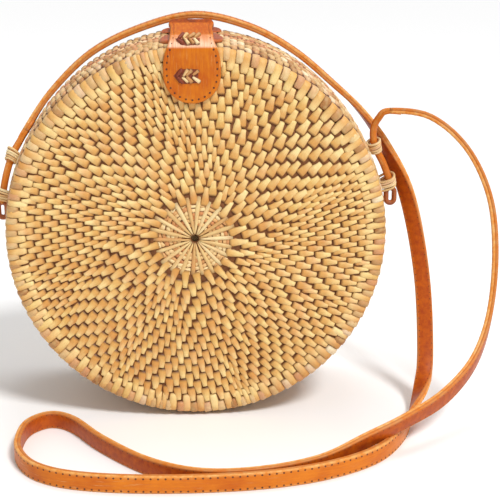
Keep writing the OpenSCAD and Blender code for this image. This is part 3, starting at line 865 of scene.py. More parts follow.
def side_core(half):
    """The coils of a side wall, with a notch at the mouth for each set of the hinge's turns."""
    arc_r = CORNER_R - CORE_TOP + STANDS_OUT
    corner = [
        (CORNER_RING_R + arc_r * math.sin(t), CORNER_D + arc_r * math.cos(t))
        for t in np.linspace(-math.pi / 2, math.pi / 2, 9)
    ]
    coils = ridges(SIDE_START_D, SIDE_ROWS, SIDE_PITCH)[::-1]
    outer = [(side_r(p) + STANDS_OUT - CORE_TOP - CORE_DIP * (1 - h), p) for p, h in coils]
    inner = [(side_r(d) - WALL_T, d) for d in np.linspace(SIDE_START_D, CORNER_D - 2, 10)]
    profile = [*corner, *outer, *inner, (FACE_EDGE_R + 0.2, CORNER_D - 1.5)]
    made = shell_mesh(f"{WORD[half]}_side_coils", profile, half, 220, SHADED_CORE)
    co = places(made)
    at_turns = (abs(abs(co[:, 0]) - HINGE_X) < 4.5) & (co[:, 2] < 10)
    co[at_turns & (abs(co[:, 1]) < NOTCH_D), 1] = half * NOTCH_D
    move_to(made, co)
    belongs(made, half, "cane", f"{WORD[half]}_side")


SPOKE_IN_R, SPOKE_OUT_R, SPOKE_D = 2.3, 24.6, 38.9
NUB_R, NUB_PITCH, NUB_W, NUB_D = 7.8, 2.2, 2.6, 38.55


def hub(half, rng):
    """Spokes from the middle of a face to its first row of strips, and small nubs between them."""
    word = WORD[half]
    out = Vector((0, half, 0))
    spokes, nubs = [], []
    longest = SPOKE_OUT_R - SPOKE_IN_R
    for k in range(SPOKES):
        a = SPOKE_START + k * math.tau / SPOKES + rng.uniform(-0.025, 0.025)
        end = SPOKE_OUT_R - 2.4 - 1.6 * math.cos(a + 0.5) + rng.uniform(-1.0, 1.0)
        along = leaned(radial(a), out, rng.uniform(-0.03, 0.03))
        share = (end - SPOKE_IN_R) / longest
        size = (share, 1 + rng.uniform(-0.1, 0.1), 1 + rng.uniform(-0.15, 0.1))
        spokes.append((face_place(a, (SPOKE_IN_R + end) / 2, SPOKE_D, half), along, out, size))
        middle = a + math.pi / SPOKES
        for i in range(6):
            stagger = NUB_PITCH / 2 if k % 2 else 0.0
            r = NUB_R + i * NUB_PITCH + stagger + rng.uniform(-0.4, 0.4)
            gap = math.tau * r / SPOKES - 0.8
            size = (1 + rng.uniform(-0.1, 0.1), gap / NUB_W, 1 + rng.uniform(-0.2, 0.2))
            along = leaned(radial(middle), out, rng.uniform(-0.1, 0.6))
            nubs.append((face_place(middle, r, NUB_D, half), along, out, size))
    made = strips(
        f"{word}_hub_spokes", half, spokes, SPOKE, nodes=[f"{word}_hub"], Length=longest,
        Width=2.65, Taper=0.2, Taper_Power=4.0, Taper_Speed=1.0, Wide_From=1.0, Tuck=0.25,
        Crown=0.35, Rounding=0.2, Seed=half + 40, Steps_Along=10,
    )
    off_middle(made, half)
    made = strips(
        f"{word}_hub_nubs", half, nubs, NUB_CANE, Length=2.75, Width=NUB_W, Tuck=0.5, Taper=1.0,
        Rise=0.95, Crown=0.3, Rounding=0.35, Seed=half + 50, Steps_Along=5,
    )
    off_middle(made, half)


def swollen(x, z, r, d):
    """The mouth's cord swells up to the side wall's face, but stays thin at the hinge's turns."""
    from_bottom = np.abs(np.arctan2(x, -z))
    up = np.clip((from_bottom - math.radians(12)) / math.radians(15), 0, 1)
    grow = 1 + 0.25 * up
    return RIM_RING_R + 1.25 * up + (r - RIM_RING_R) * grow, RIM_D + 0.3 * up + (d - RIM_D) * grow


def wrapped(x, z, r, d):
    """The braid's strands wrap round the cord: their ends bend in along its section."""
    angle, reach = np.clip((d - RIM_D) / RIM_R, -1.5, 1.5), r - RIM_RING_R
    return RIM_RING_R + reach * np.cos(angle), RIM_D + reach * np.sin(angle)


BRAID_STRANDS = 260
BRAID_R = RIM_RING_R + RIM_R - 0.45


def rim(half, rng):
    """A braided cord round the mouth: short strands wound over a core, slanting by turns."""
    word = WORD[half]
    core_r = RIM_R - 0.35
    ring = [(RIM_RING_R + core_r * math.cos(t), RIM_D + core_r * math.sin(t)) for t in circle(12)]
    core = shell_mesh(f"{word}_rim_cord", ring, half, 200, SHADED_CORE)
    reshape(core, half, swollen)
    lift_off_ground(core)
    belongs(core, half, "binding", f"{word}_rim")
    rows = []
    for k in range(BRAID_STRANDS):
        a = (k + rng.uniform(-0.1, 0.1)) * math.tau / BRAID_STRANDS
        out = radial(a)
        along = leaned(Vector((0, -half, 0)), out, math.radians(24 if k % 2 else -24))
        place = Vector(face_place(a, BRAID_R, RIM_D, half))
        rows.append((place, along, out, (1, 1 + rng.uniform(-0.08, 0.08), 1)))
    made = strips(
        f"{word}_rim_braid", half, rows, RIM_CANE, "binding", Length=4.4, Width=2.3, Rise=0.5,
        Crown=0.25, Tuck=0.35, Sink=0.5, Taper=0.8, Seed=half + 60, Steps_Along=6,
    )
    reshape(made, half, wrapped)
    reshape(made, half, swollen)
    lift_off_ground(made)


LINING_IN = 5.1  # from the side wall's surface in to the cloth
LINING_START_D, LINING_END_D, LINING_FACE_D = 7.7, 31.3, 34.7
CLOTH_T = 0.6


def folded(x, z, r, d):
    """Soft folds, which fade towards the middle of the face."""
    angle = np.arctan2(z, x)
    wave = 0.12 * np.sin(angle * 37 + 2 * np.sin(angle * 5)) * np.clip(r / 90, 0, 1) ** 2
    return r, d - np.abs(wave)


def lining(half):
    """A cloth lining on the inside, along the side wall and over the face."""
    line = [(side_r(d) - LINING_IN, d) for d in np.linspace(LINING_START_D, LINING_END_D, 12)]
    line += [
        (side_r(LINING_END_D) - LINING_IN - 3 * (1 - math.cos(t)), LINING_END_D + 3 * math.sin(t))
        for t in (0.5, 1.0, 1.5)
    ]
    line += [(r, LINING_FACE_D) for r in np.linspace(88, 1, 30)]
    inside = [
        (max(0.5, r - (CLOTH_T if d < 34 else 0)), d - (CLOTH_T if d > 31.5 else 0))
        for r, d in line[::-1]
    ]
    made = shell_mesh(f"{WORD[half]}_lining_cloth", [*line, *inside], half, 160, CLOTH)
    reshape(made, half, folded)
    belongs(made, half, "lining", f"{WORD[half]}_lining")


def build_half(half):
    word = WORD[half]
    rng = np.random.default_rng(11 if half == FRONT else 23)
    rows = weave_rows(half, rng)
    face_core(half)
    side_core(half)
    points = face_strips(half, rows, rng)
    off_middle(strips(f"{word}_face_weave", half, points, CANE, Seed=half + 10), half)
    for k, (points, length, bend) in enumerate(corner_strips(half, rows, rng)):
        strips(
            f"{word}_corner_weave_{k + 1}", half, points, SIDE_CANE if k else CANE, Length=length,
            Width=4.75, Bend_Start=bend, Bend_Radius=CORNER_BEND_R, Steps_Along=12, Taper=0.88,
            Seed=half + 20 + k,
        )
    # The last row, at the mouth, takes the redder, darker palette: painted shade
    for name, first, end, cane in (
        ("side", 0, SIDE_ROWS - 1, SIDE_CANE),
        ("mouth", SIDE_ROWS - 1, SIDE_ROWS, SHADED_MOUTH_CANE),
    ):
        points = side_strips(half, rows, rng, range(first, end))
        sizes = {"Rounding": 0.5, "Drop": 0.7, "Taper": 0.74, "Seed": half + 30}
        strips(f"{word}_{name}_weave", half, points, cane, **sizes)
    hub(half, rng)
    rim(half, rng)
    lining(half)


for half in (FRONT, BACK):
    build_half(half)


# Leather flap, laid flat in x and in s, which runs up the pad, round the bend and over the mouth
FLAP_X = -1.5
PAD_R = 14.5
PAD_BOTTOM = 172.7
FLAP_D, NECK_Z = 40.2, 204.7  # depth of the pad's back, and height of the neck's underside
BEND_R, BEND_L = 5.5, 10.2  # the bend's radius under the leather, and its length in s
BEND_D, BEND_Z = FLAP_D - BEND_R, NECK_Z - BEND_R
BEND_FACET = 4.4  # from the bend's middle to the flat facet on it
TAIL_D = 16.0
TAIL_S = BEND_S + BEND_L + BEND_D + TAIL_D
FLAP_T, PLY_SEAM = 2.3, 0.95
NECK_W, NECK_MIN_W, TAIL_W = 12.3, 10.9, 12.2  # half widths
PAD_FULL_S = 25.0  # up to there the pad's inner points go out past the neck's half width
PAD_SIDE = [(14.6, 18.0), (14.3, 21.8), (13.8, 24.6), (13.1, 26.8), (NECK_W, 28.6)]
LIP, LIP_UP = 2.4, 2.1  # the tail's last length, and how far its end bends up
LIP_DARKENING = 2.2  # how fast the top takes the back's darker colour, and loses its edge colour, along the lip
STITCH_IN, STITCH_GAP = 1.8, 3.3
GRID_S, GRID_X = 1.4, 1.8  # the gaps between the points of the leather's middle
# The height of the leather's top at each distance in from its edge, dented along the stitches
FLAP_TOP = [(0, 1.88), (0.35, 2.2), (0.9, 2.3), (1.4, 2.27), (1.8, 2.05), (2.2, 2.25), (2.8, 2.3)]
# The edge's section under that: how far it stands out, and its height
FLAP_EDGE = [(0.08, 1.5), (0.0, 1.08), (-0.2, PLY_SEAM), (0.0, 0.82), (0.06, 0.4), (-0.05, 0.12)]


def flap_place(x, s, h):
    """The point h over the flap's back, and the way out of the leather there."""
    turn = min(math.pi / 2, max(0.0, (s - BEND_S) / BEND_L * math.pi / 2))
    out = Vector((0.0, -math.cos(turn), math.sin(turn)))
    if s < BEND_S:
        return Vector((FLAP_X + x, -(FLAP_D + h), PAD_BOTTOM + s)), out
    if s > BEND_S + BEND_L:
        return Vector((FLAP_X + x, -(BEND_D - (s - BEND_S - BEND_L)), NECK_Z + h)), out
    # The leather slopes down in a flat facet between two creases
    reach = min(BEND_R + h, (BEND_FACET + h) / math.cos(turn - math.pi / 4))
    if BEND_R + h > reach:
        slope = Vector((0.0, -1.0, 1.0)).normalized()
        return Vector((FLAP_X + x, -BEND_D, BEND_Z)) + out * reach, slope
    return Vector((FLAP_X + x, -BEND_D, BEND_Z)) + out * reach, out


def flap_outline():
    half = [(PAD_R * math.sin(t), PAD_R - PAD_R * math.cos(t)) for t in np.linspace(0, 1.6, 22)]
    half += PAD_SIDE
    for s in np.arange(PAD_SIDE[-1][1] + 1.5, TAIL_S - 2.0, 1.5):
        d = BEND_D - (s - BEND_S - BEND_L)
        flare = max(0.0, 1 - (s - PAD_SIDE[-1][1]) / 7) ** 1.5
        tail = max(0.0, -d / TAIL_D)
        wide = NECK_MIN_W + (NECK_W - NECK_MIN_W) * flare + (TAIL_W - NECK_MIN_W) * tail
        half.append((wide, s))
    corner_r = 2
    half += [
        (TAIL_W - corner_r + corner_r * math.cos(t), TAIL_S - corner_r + corner_r * math.sin(t))
        for t in np.linspace(0, math.pi / 2, 5)
    ]
    ring = half + [(-x, s) for x, s in half[::-1] if x > 0.01]
    return evenly([Vector(p) for p in ring], 1.0)


def evenly(ring, gap):
    """Points the same way apart along a closed line."""
    line = [*ring, ring[0]]
    steps = [0.0]
    for a, b in zip(line, line[1:]):
        steps.append(steps[-1] + (b - a).length)
    count = round(steps[-1] / gap)
    made, k = [], 0
    for i in range(count):
        at = steps[-1] * i / count
        while k < len(steps) - 2 and steps[k + 1] < at:
            k += 1
        share = (at - steps[k]) / max(1e-9, steps[k + 1] - steps[k])
        made.append(line[k].lerp(line[k + 1], share))
    return made


def inset(ring, by):
    """A closed flat line moved in by that much, without the points that come too near it."""
    made = []
    n = len(ring)
    for i, here in enumerate(ring):
        way = ring[(i + 1) % n] - ring[i - 1]
        inward = Vector((-way.y, way.x)).normalized()
        moved = here + inward * by
        if min((moved - other).length for other in ring) > by - 0.06:
            made.append(moved)
    return made


def flap_spots(ring):
    """Places in the flat flap, from its edge inwards, and how far in each of them is."""
    flat, gaps = [p.copy() for p in ring], [0.0] * len(ring)
    for by in (0.35, 0.9, 1.4, STITCH_IN, 2.2, 2.8):
        line = inset(ring, by)
        flat += line
        gaps += [by] * len(line)
    for s in np.arange(3.5, TAIL_S - 3, GRID_S):
        for x in np.arange(-7 * GRID_X, 7 * GRID_X + 0.1, GRID_X):
            near = min((Vector((x, s)) - other).length for other in ring)
            in_pad = math.hypot(x, s - PAD_R) < PAD_R - 3 or PAD_R < s < PAD_FULL_S
            if near > 2 * GRID_X and (abs(x) < NECK_MIN_W - 1 or in_pad):
                flat.append(Vector((x, s)))
                gaps.append(near)
    return flat, gaps


def flap():
    ring = flap_outline()
    flat, gaps = flap_spots(ring)
    n = len(ring)
    border = [(i, (i + 1) % n) for i in range(n)]
    found = geometry.delaunay_2d_cdt(flat, border, [list(range(n))], 1, 1e-5)
    spots, triangles = found[0], found[2]
    came_from = [before[0] if before else 0 for before in found[3]]
    here = {came_from[i]: i for i in range(len(spots))}
    rng = np.random.default_rng(5)
    points, edge, back, laid = [], [], [], []

    def add(x, s, h, edge_share, back_share):
        """One point at x, s and the height h, and what the leather's finish reads there."""
        lip = min(1.0, max(0.0, (s - TAIL_S + LIP) / LIP))
        points.append(flap_place(x, s, h + LIP_UP * lip * lip)[0] * MM)
        edge.append(edge_share * (1 - min(1.0, LIP_DARKENING * lip)))
        back.append(max(back_share, min(1.0, LIP_DARKENING * lip)))
        laid.append((x, s, 0.0))
        return len(points) - 1

    over = []
    for i, spot in enumerate(spots):
        gap = gaps[came_from[i]]
        h = float(np.interp(gap, *zip(*FLAP_TOP))) + rng.uniform(-0.015, 0.015)
        at_edge = float(np.interp(gap, [0, 0.35, 0.9], [0.9, 0.45, 0.0]))
        over.append(add(spot.x, spot.y, h, at_edge, 0.0))
    faces = [tuple(over[i] for i in t) for t in triangles]
    last = [over[here[i]] for i in range(n)]
    for out, h in FLAP_EDGE:
        row = []
        # Lower ply's edge mostly takes the dark back colour: partly painted shade round the pad
        shares = (1.0, 0.0) if h > PLY_SEAM else (0.4, 1.0)
        for i in range(n):
            way = ring[(i + 1) % n] - ring[i - 1]
            spot = ring[i] + Vector((way.y, -way.x)).normalized() * out
            row.append(add(spot.x, spot.y, h, *shares))
        for i in range(n):
            k = (i + 1) % n
            faces.append((last[i], last[k], row[k], row[i]))
        last = row
    under = {over[here[i]]: last[i] for i in range(n)}
    for i, spot in enumerate(spots):
        if over[i] not in under:
            under[over[i]] = add(spot.x, spot.y, 0.0, 0.0, 1.0)
    faces += [tuple(under[over[i]] for i in t[::-1]) for t in triangles]
    made = solid_mesh("flap_leather", points, faces, FLAP_LEATHER, laid, edge=edge, back=back)
    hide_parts("flap_pad", "flap_backing", "flap_tail", "flap_tail_backing")
    return made, flap_stitches(ring)


def flap_stitches(ring):
    """Stitch holes along the flap's edge, not across the tail's end and fainter over the top."""
    rows = []
    for spot in evenly(inset(ring, STITCH_IN), STITCH_GAP):
        if spot.y > TAIL_S - 4 and abs(spot.x) < 8:
            continue
        place, out = flap_place(spot.x, spot.y, FLAP_T + 0.02)
        along = flap_place(spot.x, spot.y + 0.1, FLAP_T + 0.02)[0] - place
        rows.append((place, along, out, FAINT if spot.y > BEND_S + 1 else (1, 1, 1)))
    stitches = holes("flap_stitch_holes", rows, 0.52)
    return stitches


def solid_mesh(name, points, faces, material, laid=None, **facts):
    """A mesh object. Each fact is a value per point, and laid is its place in the flat leather."""
    mesh = bpy.data.meshes.new(name)
    mesh.from_pydata([tuple(p) for p in points], [], faces)
    for word, values in facts.items():
        mesh.attributes.new(word, "FLOAT", "POINT").data.foreach_set("value", values)
    if laid:
        store_vectors(mesh, "flat", laid)
    finish_mesh(mesh, material)
    return add_object(name, mesh)


# Patches, and strands and leather that follow a line
def patch_plate(name, half, inner, outer, top_r, *nodes):
    """A leather patch on the side wall under the neck, between two rounded outlines.

    Each outline is its middle's depth, its half width and its half depth.
    """
    n = 64
    shares = [0.0, 0.3, 0.6, 0.85, 0.95, 1.0]
    drops = [0.0, 0.0, 0.02, 0.08, 0.25, 0.6]
    points, edge, laid = [], [], []
    for under in (False, True):
        for share, drop in zip(shares, drops):
            for t in circle(n):
                c, s = math.cos(t), math.sin(t)
                reach = (abs(c) ** 3 + abs(s) ** 3) ** (-1 / 3)
                middle, width, depth = (a + (b - a) * share for a, b in zip(inner, outer))
                x, d = width * c * reach, middle + depth * s * reach
                r = side_r(d) + 0.05 if under else top_r - drop
                z = CENTRE_Z + math.sqrt(r * r - (FLAP_X + x) ** 2)
                points.append(Vector((FLAP_X + x, half * d, z)) * MM)
                edge.append(1.0 if share == 1 else 0.0)
                laid.append((x, d, 0.0))
    rings = len(shares)
    loops = list(range(rings)) + list(range(2 * rings - 1, rings - 1, -1))
    faces = []
    for a, b in zip(loops, [*loops[1:], loops[0]]):
        for i in range(n):
            k = (i + 1) % n
            faces.append((a * n + i, a * n + k, b * n + k, b * n + i))
    made = solid_mesh(name, points, faces, PATCH_LEATHER, laid, edge=edge)
    belongs(made, half, "backing_leather", *nodes)


def smooth_line(points, steps):
    """Catmull-Rom through the points, as plain vectors."""
    line = [Vector(p) for p in points]
    line = [2 * line[0] - line[1], *line, 2 * line[-1] - line[-2]]
    made = []
    for a, b, c, d in zip(line, line[1:], line[2:], line[3:]):
        for k in range(steps):
            t = k / steps
            square, cube = 2 * a - 5 * b + 4 * c - d, 3 * b - a - 3 * c + d
            made.append(0.5 * (2 * b + (c - a) * t + square * t**2 + cube * t**3))
    return [*made, line[-2]]


def frames_along(path, across):
    """At each point: the way along, the way across square to it, and the way out."""
    made = []
    for i in range(len(path)):
        along = (path[min(i + 1, len(path) - 1)] - path[max(i - 1, 0)]).normalized()
        side = (across[i] - across[i].dot(along) * along).normalized()
        made.append((along, side, along.cross(side)))
    return made


def swept(name, path, across, sections, material, closed=False, **facts):
    """A section [(across, out)] swept along a line. Each fact is a value per point of it."""
    frames = frames_along(path, across)
    n = len(sections[0])
    points, laid = [], []
    run = 0.0
    for i, (spot, (_, side, out), section) in enumerate(zip(path, frames, sections)):
        run += (spot - path[i - 1]).length if i else 0.0
        for a, b in section:
            points.append((spot + side * a + out * b) * MM)
            laid.append((a, run, 0.0))
    faces = []
    rings = len(path)
    for i in range(rings if closed else rings - 1):
        a, b = i * n, ((i + 1) % rings) * n
        faces += [(a + k, a + (k + 1) % n, b + (k + 1) % n, b + k) for k in range(n)]
    if not closed:
        faces += [tuple(range(n)), tuple(range((rings - 1) * n, rings * n))[::-1]]
    facts = {word: list(values) * rings for word, values in facts.items()}
    return solid_mesh(name, points, faces, material, laid, **facts)


STRAND_SIDES = 10
# The strap's section
STRAP_HALF_W, STRAP_HALF_T = 4.5, 1.75
HALF_SECTION = [  # (across, out, edge share), from the middle of one face to that of its edge
    (0.0, STRAP_HALF_T, 0), (2.7, 1.74, 0), (3.3, 1.6, 0.15), (3.75, 1.72, 0.5),
    (4.2, 1.62, 0.75), (4.42, 1.35, 1), (STRAP_HALF_W, 0.8, 1), (4.46, 0.15, 0.9), (4.25, 0.0, 0.3),
]  # fmt: skip
# The back half takes half the edge share: painted shade, less pale on that side of the edges
SECTION = [
    *HALF_SECTION,
    *[(a, -b, e * 0.5) for a, b, e in HALF_SECTION[-2:0:-1]],
    *[(-a, -b, e * 0.5) for a, b, e in HALF_SECTION],
    *[(-a, b, e) for a, b, e in HALF_SECTION[-2:0:-1]],
]
SECTION_EDGE = [e for _, _, e in SECTION]
SECTION_BACK = [1.0 if b < 0.05 else 0.0 for _, b, _ in SECTION]


def off_side(angle, up, d):
    """A point that stands off the side wall, at an angle in degrees over the bag's axis."""
    r = side_r(abs(d)) + up
    t = math.radians(angle)
    return Vector((r * math.cos(t), d, CENTRE_Z + r * math.sin(t)))


# The strap's middle line from its left end to its right, and the way across it at each point
STRAP_POINTS = [
    off_side(154, 3.1, 20), (-80.3, 26, 167.2), (-57.2, 29, 189), (-29, 30, 202.7), (1, 30, 209.5),
    (31, 30, 202.8), (56.2, 30, 189), (78.3, 29, 170.5), (93.2, 27, 156.3), (107, 23, 137),
    (120, 16, 108), (127, 0, 66), (127.5, -17, 24), (123, -31, 9), (113.7, -56, 5.1),
    (103.4, -81, 4.7), (87.4, -103, 4.6), (60, -119.5, 4.6), (25, -128, 4.6), (-20, -129.6, 4.6),
    (-58, -124.4, 4.6), (-80, -113.2, 4.6), (-90.8, -95, 4.6), (-92.7, -76, 4.6),
    (-89.5, -60, 4.6), (-79, -51.2, 4.6), (-66.5, -58.5, 4.6), (-50, -83, 4.6),
    (-26, -109.5, 4.6), (0, -123.2, 4.6), (30, -122.4, 4.6), (60, -111.6, 5.2),
    (84, -97.2, 10), (106.6, -85.8, 15.9), (129, -68, 21), (148.2, -48, 32.8),
    (159, -33, 54.8), (163.1, -21, 86), (161, -9, 114.5), (149.3, 1, 139.3),
    (129.8, 8, 155.4), off_side(27.7, 20.1, 12.5),
]  # fmt: skip
STRAP_ACROSS = [
    (0.1, 1, 0), (0, 1, 0), (0, 1, 0), (0, 1, 0), (0, 1, 0),
    (0, 1, 0), (0, 1, 0), (0, 1, 0), (-0.15, 1, 0), (-0.45, 0.9, 0),
    (-0.85, 0.55, 0), (-1, 0.2, 0), (-1, 0, -0.1), (-0.8, 0.1, -0.6), (-0.3, 0, -1),
    *[(0, 0, -1)] * 16, (0, 0.06, -1), (0.05, 0.32, -0.94), (0.12, 0.42, -0.9), (0.25, 0.42, -0.87),
    (0.3, 0.7, -0.65), (0.24, 0.95, -0.35), (0.2, 0.95, -0.25), (0.2, 0.95, -0.22),
    (0.2, 0.95, -0.2), (0.17, 0.97, -0.19), (0.15, 0.97, -0.18),
]  # fmt: skip
STRAP_STEPS = 7
HOLE_GAP, HOLE_ACROSS, HOLE_OUT = 3.55, 3.3, 1.77
ROLL_R = 2.0  # the strap's radius where it is rolled up
SLACK = {"left": 0.8, "right": 1.8}  # half of the room between strap and wall at a lower tie


def strap():
    """The strap's leather and stitch holes, its line in the row frame and its length, in metres."""
    line = [ENDS["left"][-2], *STRAP_POINTS, ENDS["right"][-2]]
    path = smooth_line(line, STRAP_STEPS)[STRAP_STEPS:-STRAP_STEPS]
    across = smooth_line(STRAP_ACROSS, STRAP_STEPS)
    sections = [[(a, b) for a, b, _ in SECTION]] * len(path)
    made = swept(
        "strap_leather", path, across, sections, STRAP_LEATHER, edge=SECTION_EDGE, back=SECTION_BACK
    )
    belongs(made, BACK, "leather", "strap")
    frames = frames_along(path, across)
    rows = []
    run, due = 0.0, HOLE_GAP
    for i in range(1, len(path)):
        step = (path[i] - path[i - 1]).length
        while run + step >= due:
            share = (due - run) / step
            spot = path[i - 1].lerp(path[i], share)
            near, far = frames[i - 1], frames[i]
            along, side, out = (a.lerp(b, share).normalized() for a, b in zip(near, far))
            for sign in (-1, 1):
                place = spot + side * HOLE_ACROSS * sign
                rows.append((place + out * HOLE_OUT, along, out, (1, 1, 1)))
                rows.append((place - out * HOLE_OUT, along, -out, FAINT))
            due += HOLE_GAP
        run += step
    stitches = holes("strap_stitch_holes", rows, 0.5)
    belongs(stitches, BACK, "leather")
    line = [tuple((p + Vector((0, MOUTH_Y, 0))) * MM) for p in path]
    return made, stitches, line, run * MM


def tie_up(word):
    """How far out of the wall the strap's middle is at its lower tie."""
    return 5.0 + 2 * SLACK[word]


ENDS = {
    "left": [
        off_side(176.7, tie_up("left"), 14), off_side(174.5, tie_up("left"), 14),
        off_side(168.25, 5.8, 14), off_side(162, 5.0, 14), off_side(157.6, 3.8, 17),
        STRAP_POINTS[0],
    ],
    "right": [
        off_side(6.3, tie_up("right"), 14), off_side(8.5, tie_up("right"), 14),
        off_side(14.25, 6.8, 14), off_side(20, 5.0, 14), off_side(24.7, 7.4, 13.7),
        off_side(27.3, 12.8, 13.2), STRAP_POINTS[-1],
    ],
}  # fmt: skip


def strap_end(word):
    """An end of the strap, rolled up where it runs through the ties and then widening into it."""
    steps = 6
    beyond = STRAP_POINTS[1 if word == "left" else -2]
    path = smooth_line([*ENDS[word], beyond], steps)[: 2 - steps]
    n = len(path)
    flat_way = Vector(STRAP_ACROSS[0 if word == "left" else -1])
    start = n - 2 - 2 * steps
    sections, across = [], []
    for i in range(n):
        grow = min(1.0, max(0.0, (i - start) / (n - 2 - start)))
        # The last section is a little smaller, inside the strap's own
        inside = 0.96 if i == n - 1 else 1.0
        grow = grow * grow * (3 - 2 * grow)
        across.append(Vector((0, 1, 0)).lerp(flat_way, grow))
        section = []
        for a, b, _ in SECTION:
            turn = math.atan2(b / STRAP_HALF_T, a / STRAP_HALF_W)
            # The roll's outer edge shows as a groove along it
            roll_r = ROLL_R - 0.35 if a > 4.2 and abs(b) < 0.2 else ROLL_R
            rolled = (roll_r * math.cos(turn), roll_r * math.sin(turn))
            section.append(tuple((c + (f - c) * grow) * inside for f, c in zip((a, b), rolled)))
        sections.append(section)
    edge, back = [e * 0.5 for e in SECTION_EDGE], [0.0] * len(SECTION)
    name = f"{word}_strap_end"
    made = swept(name + "_leather", path, across, sections, STRAP_LEATHER, edge=edge, back=back)
    belongs(made, BACK, "leather", name)
    centre = ENDS[word][0] - Vector((0, 0, 4))
    line = []
    for t in circle(36):
        shift = 2.0 if math.sin(t) > 0 else -2.0
        line.append(centre + Vector((2.3 * math.cos(t), 0, 2.3 * math.sin(t) + shift)))
    made = strand(f"{word}_end_loop", line, 1.45, LOOP_LEATHER, 0.5, flatness=1.35)
    belongs(made, BACK, "leather")


def strand(name, line, radius, material, tint, flatness=1.0):
    """A closed strand along a line in mm, round or flattened."""
    n = STRAND_SIDES
    section = [(radius * flatness * math.cos(t), radius * math.sin(t)) for t in circle(n)]
    centre = sum(line, Vector()) / len(line)
    across = []
    for i, spot in enumerate(line):
        way = (line[min(i + 1, len(line) - 1)] - line[max(i - 1, 0)]).normalized()
        side = way.cross(spot - centre)
        across.append(side if side.length > 1e-6 else Vector((0, 1, 0)))
    sections = [section] * len(line)
    made = swept(name, line, across, sections, material, closed=True, tint=[tint] * n)
    store_vectors(made.data, "strip", [(0.0, math.cos(t), 0.0) for t in circle(n)] * len(line))
    return made


def combine(name, pieces, node):
    """Joins meshes of one material into one object on the back half."""
    shape = bmesh.new()
    for piece in pieces:
        shape.from_mesh(piece.data)
    mesh = bpy.data.meshes.new(name)
    shape.to_mesh(mesh)
    shape.free()
    mesh.materials.append(pieces[0].data.materials[0])
    made = add_object(name, mesh)
    for piece in pieces:
        OWN.remove(piece)
        bpy.data.objects.remove(piece)
    belongs(made, BACK, "binding", node)


TIE_TURNS, TIE_PITCH, TIE_R = 5, 1.35, 2.7


def tie(word, level, at, slack, rng):
    """Some turns of thin cane round the rolled end of the strap."""
    centre, points = ENDS[word][at], ENDS[word]
    way = (points[at + 1] - points[at - 1]).normalized()
    out = Vector((centre.x, 0, centre.z - CENTRE_Z)).normalized()
    out = (out - out.dot(way) * way).normalized()
    side = way.cross(out)
    pieces = []
    for k in range(TIE_TURNS):
        tilt = 0.6 + rng.uniform(-0.2, 0.2)
        ring_r = TIE_R + 0.2 * k + rng.uniform(-0.12, 0.12)
        swing = rng.uniform(-0.3, 0.3)
        line = []
        for t in circle(26):
            slant = tilt * ring_r * 0.6 * math.cos(t - 1.2 + swing)
            up = (k - (TIE_TURNS - 1) / 2) * TIE_PITCH + slant
            # Each turn reaches in to the wall on that side
            reach = ring_r + (2 * slack + 0.3 if math.cos(t) < 0 else 0.0)
            spot = centre + out * reach * math.cos(t) + side * ring_r * math.sin(t)
            line.append(spot + way * up)
        pieces.append(strand(f"turn_{k}", line, 0.7, TIE_CANE, rng.uniform(0, 1)))
    combine(f"{word}_{level}_tie_turns", pieces, f"{word}_{level}_tie")


HINGE_TURNS, HINGE_PITCH, HINGE_R, HINGE_MIDDLE_Z = 3, 1.15, 2.15, 2.85


def hinge():
    """Two sets of cane turns round both mouth cords, at the bottom."""
    pieces = []
    for x in (-HINGE_X, HINGE_X):
        for k in range(HINGE_TURNS):
            line = []
            for t in circle(24):
                d = HINGE_R * math.cos(t) + (RIM_D if math.cos(t) > 0 else -RIM_D)
                z = HINGE_MIDDLE_Z + HINGE_R * math.sin(t)
                line.append(Vector((x + (k - 1) * HINGE_PITCH, d, z)))
            pieces.append(strand(f"turn_{k}", line, 0.52, TIE_CANE, 0.2 + 0.3 * k))
    combine("hinge_turns", pieces, "hinge_loops")


KNOT_LEFT, KNOT_PITCH, KNOT_UP = 4.4, 2.7, 1.75
# Outline of the painted shadow under a knot, round its middle, in x and s
KNOT_SHADOW_OUTLINE = [
    (-7.4, 0.2), (-4.6, 3.5), (0.0, 3.7), (4.6, 3.5), (5.2, 0.4), (4.9, -3.4), (-1.6, -3.9),
    (-4.4, -3.4),
]  # fmt: skip


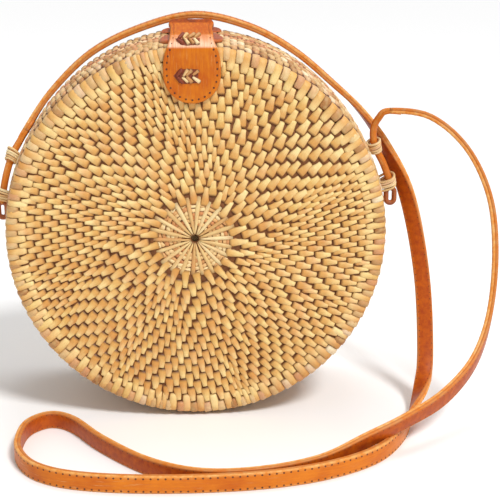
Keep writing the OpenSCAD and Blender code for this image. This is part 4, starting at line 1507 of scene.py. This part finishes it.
def knot(name, middle_x, middle_s, rng):
    """Slanting cane strands over a painted shadow on the leather, the two left ones as dark as it.
    """
    rows = []
    for k in range(4):
        for sign in (-1, 1):
            x = middle_x - KNOT_LEFT + k * KNOT_PITCH + rng.uniform(-0.5, 0.5)
            s = middle_s + sign * KNOT_UP
            place, out = flap_place(x, s, FLAP_T - 0.25)
            up = flap_place(x, s + 0.1, FLAP_T)[0] - flap_place(x, s, FLAP_T)[0]
            tilt = 0.85 + rng.uniform(-0.35, 0.35)
            along = Vector((1, 0, 0)) * 0.75 + up.normalized() * sign * tilt
            long, wide = 1 + rng.uniform(-0.1, 0.15), 1 + rng.uniform(-0.15, 0.1)
            rows.append((place, along, out, (long, wide, 1 + rng.uniform(-0.2, 0.2))))
    shape = {
        "Length": 4.9, "Width": 2.35, "Rise": 1.6, "Crown": 0.9, "Tuck": 0.3, "Drop": 1.1,
        "Rounding": 0.6, "Taper": 0.7, "Sink": 0.3, "Seed": 7, "Steps_Across": 7,
    }
    strips(name + "_strands", FRONT, rows[2:], KNOT_CANE, "binding", [name], **shape)
    # The two left strands take the painted shadow's colour: painted shade
    strips(name + "_first_strands", FRONT, rows[:2], KNOT_SHADOW, "binding", **shape)
    points = [flap_place(middle_x, middle_s, FLAP_T + 0.02)[0] * MM]
    points += [flap_place(middle_x + x, middle_s + s, FLAP_T + 0.04)[0] * MM for x, s in KNOT_SHADOW_OUTLINE]
    n = len(KNOT_SHADOW_OUTLINE)
    faces = [(0, 1 + (i + 1) % n, 1 + i) for i in range(n)]
    belongs(solid_mesh(name + "_dent", points, faces, KNOT_SHADOW), FRONT, "leather")


knot_rng = np.random.default_rng(77)
patch_plate("neck_patch_leather", FRONT, (18.2, 0.6, 0.6), (18.2, 16.4, 14.0), 102.9, "neck_patch")
patch_plate("snap_patch_leather", BACK, (10.2, 5.6, 5.4), (15.5, 16.4, 12.2), 102.85)
flap_pieces = flap()
strap_pieces = strap()
for end in ("left", "right"):
    strap_end(end)
    tie(end, "upper", 3, 0.0, knot_rng)
    tie(end, "lower", 1, SLACK[end], knot_rng)
hinge()
knot("pad_knot", -2.0, 14.0, knot_rng)
knot("neck_knot", -1.0, BEND_S + BEND_L * 0.62, knot_rng)
settle()

# The flap's pieces have their transforms baked into their meshes
for made in flap_pieces:
    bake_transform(made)

# CAD solids that show as they are
for node, material in (
    ("snap_patch", PATCH_LEATHER),
    ("snap_socket", METAL),
    ("snap_stud", METAL),
):
    solid = bpy.data.objects[node]
    solid.data.materials.clear()
    solid.data.materials.append(material)


# Stage and light
FLOOR_REACH = 12.0


def stage():
    material, _, _ = fresh_material("floor", Roughness=0.6, Base_Color=(0.96, 0.96, 0.96, 1.0))
    mesh = bpy.data.meshes.new("floor")
    signs = ((-1, -1), (1, -1), (1, 1), (-1, 1))
    corners = [(x * FLOOR_REACH, y * FLOOR_REACH, 0) for x, y in signs]
    mesh.from_pydata(corners, [], [(0, 1, 2, 3)])
    mesh.materials.append(material)
    add_object("floor", mesh)
    world = bpy.data.worlds.new("studio")
    bpy.context.scene.world = world
    world.use_nodes = True
    background = world.node_tree.nodes["Background"]
    background.inputs["Color"].default_value = (1.0, 1.0, 1.0, 1.0)
    background.inputs["Strength"].default_value = 0.5
    key = bpy.data.lights.new("key", "SUN")
    key.energy, key.angle = 2.3, math.radians(14)
    aimed("key", key, (0, 0, 0), Vector((-0.42, 0.6, -0.95)))
    top = bpy.data.lights.new("top", "AREA")
    top.shape, top.size, top.energy = "DISK", 0.6, 4.0
    aimed("top", top, (0.1, 0.3, 1.2), Vector((-0.1, -0.3, -1.1)))
    bpy.context.scene.view_settings.view_transform = "Standard"


stage()
